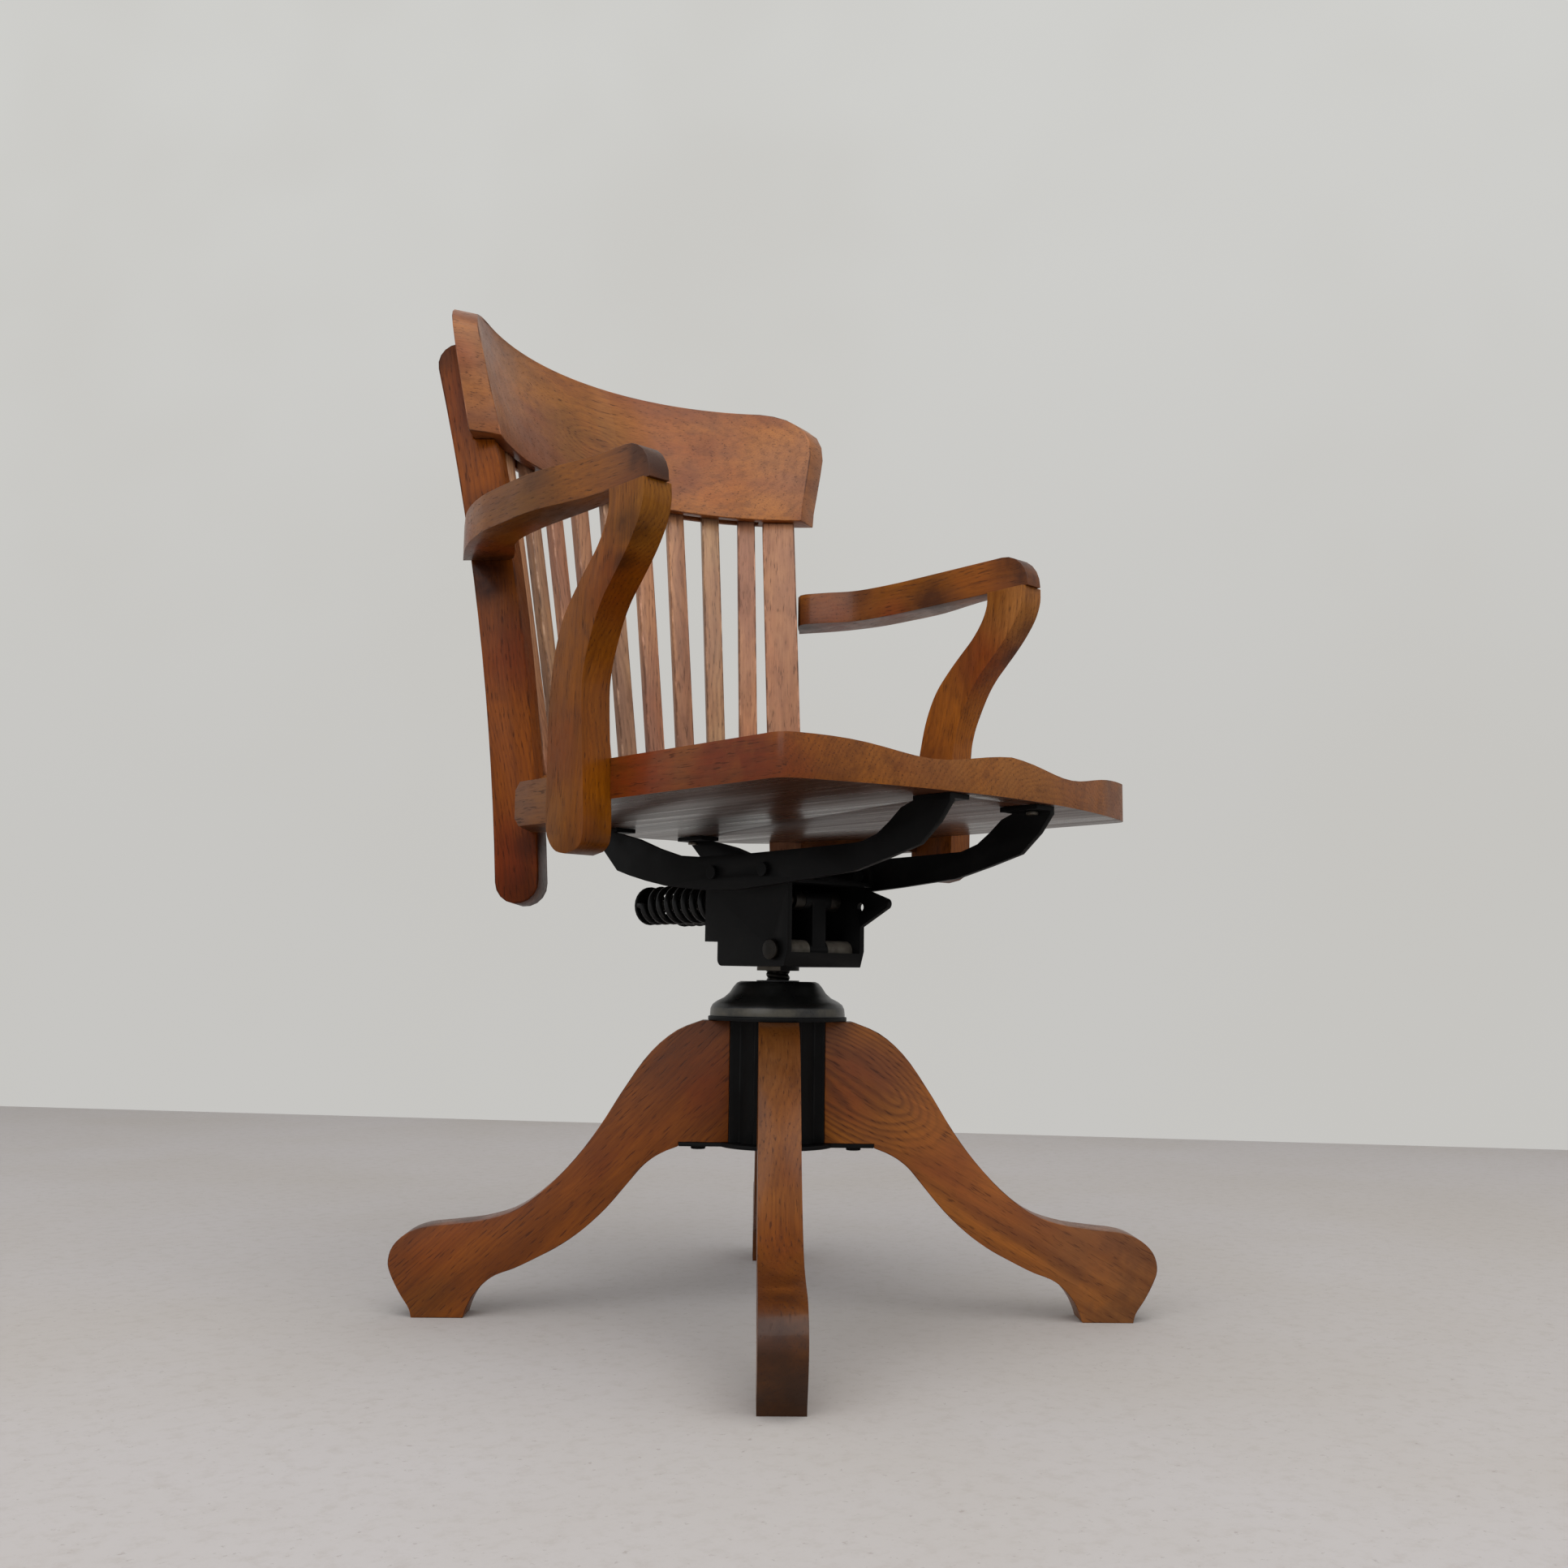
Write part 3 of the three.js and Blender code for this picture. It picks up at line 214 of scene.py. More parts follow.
SEED_STEP = 1.37  # how far along the fibres one unit of a board's seed moves its grain
WANDER_Y, WANDER_Z = 0.02, 0.016  # how far the middle of the trunk wanders, in metres
RING_BEND = 0.0065  # broad waves of a year ring, in metres
RING_JITTER = 0.0012  # fine waves of a year ring, in metres
OVAL_LENGTH = 2.0  # how much longer along the fibres than across a closed ring is
PLAIN_SHARE = 0.3  # the share of a bold figure that is left away from its closed rings
PALE_BLUE = 0.05  # a wood with a linear blue above this counts as pale
SEAT_HEM = (0.4345, 0.433)  # heights between which the lighter band of the seat's lower edge comes in, wear with a painted highlight
FOOT_STAIN_AND_SHADE_TOP = (0.088, 0.07)  # heights between which a foot's end face darkens, with stain and painted shade


class Board:
    """A board's own coordinates: X along the fibres and Z out of its face, moved along by its seed."""

    def __init__(self, tree, place, grain, face, seed):
        along = Vector(grain).normalized()
        out = Vector(face)
        out = (out - along * out.dot(along)).normalized()
        self.turn = Matrix((along, out.cross(along), out))
        self.shift = Vector((seed * SEED_STEP, 0, 0))
        mapping = tree.add("ShaderNodeMapping", vector_type="POINT")
        tree.put(mapping.inputs["Vector"], place)
        mapping.inputs["Rotation"].default_value = self.turn.to_euler()
        mapping.inputs["Location"].default_value = self.shift
        self.place = mapping.outputs["Vector"]
        self.tree = tree

    def noise(self, along, across, detail=3.0, roughness=0.6, distortion=0.0, offset=(0, 0, 0)):
        """Noise drawn out along the fibres; along and across are its scales."""
        vector = self.tree.stretched(self.place, (along, across, across), offset)
        return self.tree.noise(vector, 1.0, detail, roughness, distortion)


def zone_colours(colour):
    """What each kind of zone on a piece of wood turns its colour to. Pale woods keep their blue share. The
    pale kind is a painted sheen and the dark kind is stains and painted shade.
    """
    pale = colour[2] > PALE_BLUE
    return {
        "amber": scaled(colour, 1.2, 1.2, 1.1) if pale else scaled(colour, 1.5, 1.5, 0.75),
        "olive": scaled(colour, 0.85, 0.88, 0.85) if pale else scaled(colour, 0.78, 0.95, 0.7),
        "red": scaled(colour, 0.98, 0.5, 0.42),
        # pale: a whitish painted sheen, as lit varnish shows
        "pale": scaled(colour, 1.5, 1.95, 2.9),
        "dark": scaled(colour, 0.2, 0.16, 0.2),
    }


def zoned(tree, place, shade, colour, zones, kinds, cloud):
    """The shade with its zones laid on, each (kind, x, y, z, reach, strength), broken up by the cloud."""
    ragged = tree.mapped(cloud, 0.3, 0.62, 0.45, 1.1)
    for kind in kinds:
        mask = None
        for _, x, y, z, reach, strength in [zone for zone in zones if zone[0] == kind]:
            one = tree.near(place, (x, y, z), reach, strength)
            mask = one if mask is None else tree.math("MAXIMUM", mask, one)
        if mask is not None:
            mask = tree.math("MULTIPLY", mask, ragged, True)
            shade = tree.mix(mask, shade, zone_colours(colour)[kind])
    return shade


def year_rings(board, place, heart, rings, oval):
    """How dark the wood is by its year rings, and a mask of where they close on themselves, or None."""
    t = board.tree
    middle = board.turn @ Vector(heart)
    wander = board.noise(2.6, 7, 2.0, 0.5)
    bend = board.noise(7, 26, 3.0, 0.5)
    jitter = board.noise(22, 110, 2.0)
    sides = t.split(board.place)
    y_shift = t.mapped(wander, 0.3, 0.7, -middle.y - WANDER_Y, -middle.y + WANDER_Y, False)
    z_shift = t.mapped(wander, 0.3, 0.7, -middle.z + WANDER_Z, -middle.z - WANDER_Z, False)
    y = t.math("ADD", sides[1], y_shift)
    z = t.math("ADD", sides[2], z_shift)
    bold = None
    if oval is not None:
        spot, reach, depth = oval
        bold = t.near(place, spot, reach * 2.0, 1.0)
        centre = board.turn @ Vector(spot) + board.shift
        centre.x /= OVAL_LENGTH
        drawn_out = t.stretched(board.place, (1 / OVAL_LENGTH, 1, 1))
        z = t.math("SUBTRACT", z, t.near(drawn_out, centre, reach, depth))
    radius = t.math("SQRT", t.math("ADD", t.times(y, y), t.times(z, z)))
    radius = t.math("ADD", radius, t.mapped(bend, 0.2, 0.8, -RING_BEND, RING_BEND, False))
    radius = t.math("ADD", radius, t.mapped(jitter, 0.2, 0.8, -RING_JITTER, RING_JITTER, False))
    phase = t.math("FRACT", t.times(radius, rings))
    late = t.mapped(phase, 0.0, 0.5, 1.0, 0.0)
    early = t.mapped(phase, 0.74, 1.0, 0.0, 1.0)
    return t.math("MAXIMUM", late, early), bold


def oak(
    name, grain, face, heart, colour, seed, figure, rings, zones,
    under=None, toe=None, oval=None, gloss=1.0,
):
    """Varnished oak. grain is the way the fibres run, face the board's face normal and heart a point that
    the middle of the trunk passes through. figure is how strongly the year rings show and rings their
    number in a metre. under is the bare colour below, toe the way that a foot points, whose end face is
    darkened with stain and painted shade, and oval is (place, reach, depth) where the rings close on
    themselves. gloss scales the sheen."""
    t = Tree(name)
    place = t.coordinates()
    board = Board(t, place, grain, face, seed)
    ring, bold = year_rings(board, place, heart, rings, oval)
    fibre = board.noise(16, 620)
    streak = board.noise(3.0, 95)
    fleck = board.noise(90, 800, 1.0, 0.5)
    patch = board.noise(5, 12, 3.0, 0.55, 0.4)
    tint = board.noise(6, 14, 3.0, 0.6, 0.3, (3.1, 1.7, 0.4))
    hue = board.noise(4, 10, 2.0, 0.5, 0.0, (7.7, 2.9, 5.3))
    mottle = board.noise(40, 90)
    cloud = t.noise(place, 24.0, 4.0, 0.65)
    wear = t.noise(place, 34.0, 4.0, 0.6)
    pores = t.times(t.mapped(fleck, 0.58, 0.68), t.mapped(ring, 0.0, 1.0, 0.35, 1.0))
    edge = t.rounded_edges()
    height = t.split(place)[2]
    normal = t.add("ShaderNodeNewGeometry").outputs["Normal"]

    # Broad changes of colour
    kinds = zone_colours(colour)
    shade = t.mix(t.mapped(patch, 0.34, 0.66), scaled(colour, 0.7, 0.66, 0.75), kinds["amber"])
    shade = t.mix(t.mapped(tint, 0.45, 0.7, 0.0, 0.6), shade, scaled(colour, 0.95, 0.7, 0.6))
    shade = t.mix(t.mapped(hue, 0.5, 0.72, 0.0, 0.5), shade, kinds["olive"])
    shade = zoned(t, place, shade, colour, zones, ("amber", "olive", "red", "pale"), cloud)

    # Rings, streaks, fibres and pores
    dark = scaled(colour, 0.4, 0.34, 0.36)
    if bold is not None:
        figure = t.mapped(bold, 0.0, 1.0, PLAIN_SHARE * figure, figure)
    shade = t.mix(t.times(ring, figure), shade, dark)
    shade = t.mix(t.mapped(streak, 0.44, 0.74, 0.0, 0.4), shade, dark)
    shade = t.mix(t.mapped(mottle, 0.5, 0.75, 0.0, 0.25), shade, dark)
    shade = t.mix(t.mapped(fibre, 0.35, 0.75, 0.0, 0.25), shade, dark)
    shade = t.mix(t.times(pores, 0.6), shade, scaled(dark, 0.35))

    # Edges, lighter in some places and dirty in others. The lighter edges are rubbed wear with a painted
    # highlight along the arrises.
    rubbed = t.times(edge, t.mapped(wear, 0.52, 0.68, 0.0, 0.45))
    dirty = t.times(edge, t.mapped(wear, 0.56, 0.34, 0.0, 0.75))
    shade = t.mix(rubbed, shade, scaled(colour, 1.9, 2.1, 2.6))
    shade = t.mix(dirty, shade, scaled(dark, 0.55))

    # The bare underside, with a satin sheen, and the lighter lower edge above it: wear with a painted
    # highlight
    rough = t.math("ADD", t.mapped(cloud, 0.3, 0.7, 0.32, 0.48), t.times(pores, 0.2))
    if under is not None:
        bare = t.mix(t.mapped(streak, 0.4, 0.65, 0.0, 0.6), under, scaled(under, 0.55, 0.48, 0.45))
        bare = t.mix(t.mapped(tint, 0.45, 0.65, 0.0, 0.55), bare, scaled(under, 1.05, 0.75, 0.6))
        below = t.mapped(t.split(normal)[2], -0.75, -0.9)
        shade = t.mix(below, shade, bare)
        hem = t.times(t.times(edge, t.mapped(height, *SEAT_HEM)), t.mapped(wear, 0.3, 0.5, 0.15, 0.75))
        shade = t.mix(hem, shade, scaled(colour, 1.9, 2.1, 2.2))
        satin = t.mapped(streak, 0.3, 0.7, 0.24, 0.38)
        rough = t.math("ADD", t.times(rough, t.math("SUBTRACT", 1.0, below)), t.times(below, satin))

    # The foot's end face, darkened with stain and painted shade, and the dark zones over all: stains and
    # painted shade
    if toe is not None:
        facing = t.add("ShaderNodeVectorMath", operation="DOT_PRODUCT")
        t.put(facing.inputs[0], normal)
        facing.inputs[1].default_value = toe
        foot_stain_and_shade = t.times(t.mapped(facing.outputs["Value"], 0.35, 0.8), t.mapped(height, *FOOT_STAIN_AND_SHADE_TOP))
        foot_stain_and_shade = t.times(foot_stain_and_shade, t.mapped(cloud, 0.3, 0.6, 0.65, 0.92))
        shade = t.mix(foot_stain_and_shade, shade, scaled(dark, 0.5, 0.7, 1.1))
    shade = zoned(t, place, shade, colour, zones, ("dark",), cloud)

    relief = t.math("SUBTRACT", t.times(fibre, 0.35), pores)
    relief = t.math("SUBTRACT", relief, t.times(ring, 0.2))
    return t.principled(
        shade, rough, t.bump(relief, 0.3, 0.0003),
        Specular_IOR_Level=0.18 * gloss, Coat_Weight=0.14 * gloss, Coat_Roughness=0.15,
    )


# Metal

RIM_OUTSIDE, RIM_INSIDE = 0.0012, 0.0008  # how far the rim's lighter colour, worn paint with a painted highlight, fades beyond its band and within it, in metres


def iron(name, colour=(8, 8, 8), rough=(0.42, 0.6), rust=0.1, level=0.1, bare=None, rim=None):
    """Old black paint on iron, with rubbed patches and a little brown bloom. bare is a function that makes
    the mask of where a light dull-metal grey is painted on, bare metal with a painted highlight, and rim a
    height band in metres where the paint is worn to a brassy grey, with a painted highlight on it."""
    t = Tree(name)
    place = t.coordinates()
    grain = t.noise(place, 240.0, 4.0, 0.6)
    patch = t.noise(place, 28.0, 4.0, 0.6)
    speck = t.noise(place, 120.0, 3.0, 0.6)
    base = srgb(*colour)
    shade = t.mix(t.mapped(patch, 0.4, 0.75), base, scaled(base, 2.2))
    shade = t.mix(t.mapped(speck, 0.6, 0.75, 0.0, rust), shade, srgb(46, 33, 24))
    rubbed = t.times(t.rounded_edges(), t.mapped(patch, 0.42, 0.62, 0.15, 0.8))
    shade = t.mix(rubbed, shade, scaled(base, 5.0))
    if rim is not None:
        height = t.split(place)[2]
        above = t.mapped(height, rim[0] - RIM_OUTSIDE, rim[0] + RIM_INSIDE)
        below = t.mapped(height, rim[1] + RIM_OUTSIDE, rim[1] - RIM_INSIDE)
        # the brassy grey band: worn paint with a painted highlight
        rim_wear_and_highlight = t.times(t.times(above, below), t.mapped(patch, 0.4, 0.62, 0.1, 0.65))
        shade = t.mix(rim_wear_and_highlight, shade, srgb(86, 80, 66))
    if bare is not None:
        # the light grey of bare metal, which on the head's barrel also paints in its highlight
        shade = t.mix(bare(t, place), shade, srgb(104, 98, 88))
    return t.principled(
        shade, t.mapped(patch, 0.3, 0.7, *rough), t.bump(grain, 0.25, 0.0003), Specular_IOR_Level=level,
    )


def barrel_bare_and_highlight(t, place):
    """A mask of the ends of the spindle head's cross barrel, clear of its web, where they are painted light
    grey: bare metal with the barrel's highlight painted in.
    """
    sides = t.split(place)
    beside = t.mapped(t.math("ABSOLUTE", sides[0]), 0.0105, 0.0115)
    low = t.mapped(sides[2], 0.3245, 0.3235)
    return t.times(t.times(beside, low), t.mapped(t.noise(place, 60.0, 3.0, 0.6), 0.3, 0.6, 0.45, 0.95))


def steel(name, colour=(120, 113, 102), rough=(0.3, 0.48), dull=0.3):
    """Bare turned steel, dulled, with fine marks round the bar."""
    t = Tree(name)
    place = t.coordinates()
    marks = t.noise(t.stretched(place, (900, 60, 60)), 1.0, 2.0, 0.5)
    patch = t.noise(place, 45.0, 4.0, 0.6)
    base = srgb(*colour)
    shade = t.mix(t.mapped(patch, 0.35, 0.7), base, scaled(base, dull))
    return t.principled(shade, t.mapped(patch, 0.3, 0.7, *rough), t.bump(marks, 0.2, 0.0002), Metallic=0.9)


# Pieces

SAME_POINT = 1e-6  # corners closer than this, in metres, are one
FLAT_DEG = 0.6  # faces that meet at less than this are one face

# How far from a sharp edge its rounding begins, in metres
BOARD_EDGE = 0.003
SLAT_EDGE = 0.0015
SUPPORT_EDGE = 0.004
REST_EDGE = 0.0085
IRON_EDGE = 0.0006
HEAD_EDGE = 0.0008


def body_of(node):
    for body, members in frame["record"]["behaviour"]["bodies"].items():
        if node in members:
            return body
    raise KeyError(node)


def adopt(piece, node):
    """Puts the piece on the node's body, in the node's place."""
    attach(piece, body_of(node))
    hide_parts(node)


def smoothed(mesh, angle):
    for polygon in mesh.polygons:
        polygon.use_smooth = True
    mesh.set_sharp_from_angle(angle=math.radians(angle))


def dress(node, material, bevel, segments=3, angle=32, smooth=38):
    """A copy of the node's mesh in the node's place, with the edges sharper than the angle rounded."""
    mesh = nodes_by_name[node].data.copy()
    mesh.name = "look_" + node
    mesh.materials.clear()
    piece = bpy.data.objects.new("look_" + node, mesh)
    bpy.context.scene.collection.objects.link(piece)
    work = bmesh.new()
    work.from_mesh(mesh)
    bmesh.ops.remove_doubles(work, verts=work.verts, dist=SAME_POINT)
    bmesh.ops.dissolve_limit(work, angle_limit=math.radians(FLAT_DEG), verts=work.verts, edges=work.edges)
    layer = work.faces.layers.float.new("edge")
    if bevel:
        limit = math.radians(angle)
        sharp = [e for e in work.edges if len(e.link_faces) == 2 and e.calc_face_angle(0) > limit]
        rounded = bmesh.ops.bevel(
            work, geom=sharp, offset=bevel, offset_type="OFFSET", segments=segments, profile=0.5,
            affect="EDGES", clamp_overlap=True,
        )
        for face in rounded["faces"]:
            face[layer] = 1.0
    bmesh.ops.recalc_face_normals(work, faces=work.faces)
    work.to_mesh(mesh)
    work.free()
    smoothed(mesh, smooth)
    mesh.materials.append(material)
    adopt(piece, node)


def tube(name, rings, material, smooth=40):
    """A closed tube through rings of equally many points."""
    count = len(rings[0])
    faces = []
    for i in range(len(rings) - 1):
        for j in range(count):
            k = (j + 1) % count
            faces.append((i * count + j, i * count + k, (i + 1) * count + k, (i + 1) * count + j))
    faces.append(tuple(range(count)))
    faces.append(tuple((len(rings) - 1) * count + j for j in range(count)))
    mesh = bpy.data.meshes.new(name)
    mesh.from_pydata([point for ring in rings for point in ring], [], faces)
    work = bmesh.new()
    work.from_mesh(mesh)
    bmesh.ops.recalc_face_normals(work, faces=work.faces)
    work.to_mesh(mesh)
    work.free()
    smoothed(mesh, smooth)
    mesh.materials.append(material)
    piece = bpy.data.objects.new(name, mesh)
    bpy.context.scene.collection.objects.link(piece)
    return piece


# The springs. Places and radii are the CAD's, in metres, and the wire is divided more finely than there.
SPRING_X = 0.021
SPRING_FRONT = 0.0473 + SHIFT_Y
SPRING_END = 0.1577 + SHIFT_Y
SPRING_Z = 0.357
SPRING_RADIUS = 0.01525
SPRING_TURNS = 8
STUB_RING = 0.6  # where along a straight end its middle ring of points lies
WIRE_RADIUS = 0.003
WIRE_SIDES = 12
TURN_STEPS = 32


def spring(side, sign, material):
    """A helix with a short straight stub along its axis at each end."""
    length = SPRING_END - SPRING_FRONT
    stub = 2 * WIRE_RADIUS
    steps = SPRING_TURNS * TURN_STEPS
    path = [(0.0, 0.0), (0.0, stub * STUB_RING)]
    for i in range(steps + 1):
        path.append((2 * math.pi * i / TURN_STEPS, stub + (length - 2 * stub) * i / steps))
    path += [(0.0, length - stub * STUB_RING), (0.0, length)]
    centres = []
    for angle, along in path:
        out = Vector((math.cos(angle), 0, math.sin(angle)))
        centres.append((out, out * SPRING_RADIUS + Vector((0, along, 0))))
    rings = []
    for i, (out, centre) in enumerate(centres):
        before = centres[max(i - 1, 0)][1]
        after = centres[min(i + 1, len(centres) - 1)][1]
        side_way = (after - before).normalized().cross(out).normalized()
        ring = []
        for j in range(WIRE_SIDES):
            a = 2 * math.pi * j / WIRE_SIDES
            point = centre + out * (WIRE_RADIUS * math.cos(a)) + side_way * (WIRE_RADIUS * math.sin(a))
            ring.append((sign * (point.x + SPRING_X), point.y + SPRING_FRONT, point.z + SPRING_Z))
        rings.append(ring)
    piece = tube("look_spring_" + side, rings, material)
    adopt(piece, "spring_" + side)
    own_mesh(piece)


# The spindle, in metres. Its thread is only here: the CAD's rod is plain but for the keyway.
THREAD_CREST = 0.0105
THREAD_ROOT = 0.0091
THREAD_PITCH = 0.006
THREAD_FLANK = 2.6  # how steeply the thread's flanks rise
THREAD_LOW, THREAD_HIGH = 0.076, 0.2955
SPINDLE_LOW, SPINDLE_TOP = 0.075, 0.314
KEYWAY_HALF, KEYWAY_FLOOR, KEYWAY_TOP = 0.002, 0.0079, 0.2905
SPINDLE_SIDES = 64
SPINDLE_STEPS = 290


def spindle(material):
    """The spindle with its screw thread and the keyway that stops it turning in the bush."""
    threaded = THREAD_HIGH - THREAD_LOW
    levels = [THREAD_LOW + threaded * i / SPINDLE_STEPS for i in range(SPINDLE_STEPS + 1)]
    rings = []
    for level in [SPINDLE_LOW] + levels + [THREAD_HIGH + 0.0003, SPINDLE_TOP]:
        ring = []
        for j in range(SPINDLE_SIDES):
            angle = 2 * math.pi * j / SPINDLE_SIDES
            phase = ((level / THREAD_PITCH) - j / SPINDLE_SIDES) % 1.0
            share = min(1.0, THREAD_FLANK * abs(phase - 0.5))
            radius = THREAD_ROOT + (THREAD_CREST - THREAD_ROOT) * share
            if level < THREAD_LOW:
                radius = THREAD_ROOT
            if level > THREAD_HIGH:
                radius = THREAD_CREST
            x, y = radius * math.sin(angle), radius * math.cos(angle)
            if abs(x) < KEYWAY_HALF and y > 0 and level < KEYWAY_TOP:
                y = KEYWAY_FLOOR
            ring.append((x, y + SHIFT_Y, level))
        rings.append(ring)
    adopt(tube("look_spindle", rings, material, smooth=50), "spindle")


# Wood colours, one for each piece. The pale colours of the left stile and the slats hold painted light:
# their faces are turned to the light.
LEGS = {1: (104, 54, 17), 2: (112, 58, 15), 3: (104, 58, 24), 4: (134, 78, 36)}
SEAT = (114, 64, 22)
UNDER = (74, 48, 34)
CREST = (130, 78, 43)
STILES = {"left": (168, 120, 88), "right": (102, 50, 8)}
SUPPORTS = {"left": (128, 72, 24), "right": (110, 60, 8)}
RESTS = {"left": (128, 74, 26), "right": (116, 66, 14)}
SPACER = (104, 62, 34)
SLATS = ((173, 124, 91), (167, 120, 87), (168, 130, 97))

# Stained, rubbed and painted-light places, each (kind, x, y, z, reach, strength): some dark zones are
# painted shade and the pale zones are painted sheen. Those of the paired pieces are written for the right
# side, which is at negative X.
SEAT_ZONES = [
    ("dark", -0.206, 0.0, 0.45, 0.055, 0.8), ("dark", 0.206, 0.0, 0.45, 0.05, 0.7),
    ("dark", -0.206, -0.205, 0.447, 0.07, 0.3), ("red", -0.206, -0.205, 0.447, 0.085, 1.0),
    ("red", -0.206, -0.09, 0.445, 0.08, 0.9), ("red", 0.10, -0.29, 0.455, 0.06, 0.5),
    ("amber", 0.0, -0.29, 0.455, 0.12, 0.4), ("pale", 0.0, -0.29, 0.45, 0.2, 0.55),
    ("pale", 0.19, -0.29, 0.46, 0.05, 0.35),
]
CREST_ZONES = [
    ("olive", -0.03, 0.26, 0.84, 0.11, 0.75), ("amber", 0.0, 0.26, 0.88, 0.08, 0.7),
    ("pale", -0.2, 0.2, 0.85, 0.09, 0.4), ("pale", 0.21, 0.18, 0.85, 0.08, 0.35),
    ("red", 0.12, 0.235, 0.83, 0.08, 0.3), ("red", -0.235, 0.155, 0.86, 0.03, 0.7),
]
STILE_ZONES = [("red", -0.165, 0.13, 0.49, 0.06, 0.6), ("amber", -0.2, 0.18, 0.8, 0.06, 0.5)]
# On the right stile, the dark zones just under the rest and just under the spacer are painted shade; the
# other zones are stains and tone.
SHADED_AND_STAINED_STILE_ZONES = [
    ("dark", -0.198, 0.165, 0.655, 0.04, 1.0), ("dark", -0.20, 0.165, 0.72, 0.028, 0.5),
    ("dark", -0.222, 0.222, 0.875, 0.035, 0.8), ("dark", -0.155, 0.135, 0.36, 0.045, 0.8),
    ("dark", -0.16, 0.125, 0.405, 0.028, 0.7), ("red", -0.165, 0.14, 0.39, 0.075, 0.8),
    ("red", -0.17, 0.14, 0.58, 0.06, 0.6), ("amber", -0.165, 0.135, 0.50, 0.07, 0.8),
    ("amber", -0.2, 0.18, 0.77, 0.06, 0.9), ("red", -0.215, 0.2, 0.82, 0.05, 0.4),
]
SUPPORT_ZONES = [
    ("dark", -0.24, -0.113, 0.635, 0.024, 0.7), ("dark", -0.24, -0.107, 0.605, 0.022, 0.7),
    ("red", -0.225, -0.10, 0.60, 0.06, 0.6), ("red", -0.215, -0.02, 0.47, 0.05, 0.5),
    ("amber", -0.225, -0.05, 0.54, 0.06, 0.7), ("olive", -0.225, -0.1, 0.655, 0.045, 0.25),
    ("dark", -0.215, -0.035, 0.39, 0.03, 0.5), ("pale", -0.225, -0.13, 0.64, 0.06, 0.75),
]
# The dark zones on the rest's underside, by the support and by the stile, are painted shade.
REST_ZONES = [
    ("dark", -0.235, -0.125, 0.70, 0.05, 0.85), ("dark", -0.225, -0.1375, 0.688, 0.04, 1.0),
    ("dark", -0.215, -0.01, 0.669, 0.05, 0.8), ("dark", -0.19, 0.16, 0.668, 0.05, 0.9),
    ("dark", -0.25, 0.0, 0.702, 0.03, 0.5), ("dark", -0.215, 0.09, 0.702, 0.03, 0.5),
    ("olive", -0.262, 0.02, 0.69, 0.08, 0.6), ("red", -0.215, 0.13, 0.67, 0.05, 0.8),
    ("red", -0.205, 0.04, 0.655, 0.045, 1.0), ("dark", -0.205, -0.03, 0.655, 0.045, 0.7),
    ("amber", -0.262, -0.06, 0.69, 0.06, 0.7),
]
SPACER_ZONES = [("dark", -0.18, 0.09, 0.415, 0.03, 0.8), ("dark", -0.207, 0.0, 0.42, 0.03, 0.8)]

FIRST_LEG_DEG = 48.8  # the azimuth of leg 1; the others follow by quarter turns
SLAT_STEP_DEG = 8.2  # the angle between two slats
STILE_DEG = 42  # about the angle of a stile from straight behind, for its fibres
RAKE = 0.17  # about how far the stiles and slats lean back for each metre of height, for their fibres


def leg_material(index):
    azimuth = math.radians(FIRST_LEG_DEG + 90 * (index - 1))
    out = Vector((math.cos(azimuth), math.sin(azimuth), 0))
    side = Vector((-out.y, out.x, 0))

    def spot(kind, along, height, reach, strength):
        return (kind, out.x * along, out.y * along + SHIFT_Y, height, reach, strength)

    zones = [
        spot("dark", 0.338, 0.070, 0.030, 0.75), spot("dark", 0.305, 0.085, 0.030, 0.75),
        spot("dark", 0.265, 0.083, 0.022, 0.55), spot("olive", 0.30, 0.01, 0.05, 0.8),
        spot("red", 0.06, 0.20, 0.055, 0.6), spot("dark", 0.055, 0.255, 0.028, 0.5),
        spot("amber", 0.14, 0.18, 0.06, 0.7), spot("amber", 0.19, 0.12, 0.05, 0.5),
        spot("red", 0.23, 0.115, 0.03, 0.35),
    ]
    grain = out * 0.72 - UP * 0.69
    heart = out * 0.12 + side * 0.05 + Vector((0, SHIFT_Y, 0.12))
    figure, rings, oval = 0.2, 260.0, None
    if index == 3:
        # The pale zone high on this leg, near the hub, is a painted sheen.
        zones += [spot("red", 0.225, 0.12, 0.045, 0.75), spot("pale", 0.11, 0.22, 0.04, 0.5)]
    if index == 4:  # the boldly figured one
        near = out * 0.066 - side * 0.016 + Vector((0, SHIFT_Y, 0.2))
        grain = out * 0.86 - UP * 0.51
        heart = near - side * 0.055
        figure, rings, oval = 0.6, 120.0, (near, 0.052, 0.052)
        zones += [spot("dark", 0.32, 0.035, 0.13, 0.6), spot("pale", 0.32, 0.035, 0.13, 0.5)]
    return oak(
        "oak_leg_%d" % index, grain, side, heart, srgb(*LEGS[index]), index * 3.1, figure, rings, zones,
        toe=out, oval=oval,
    )


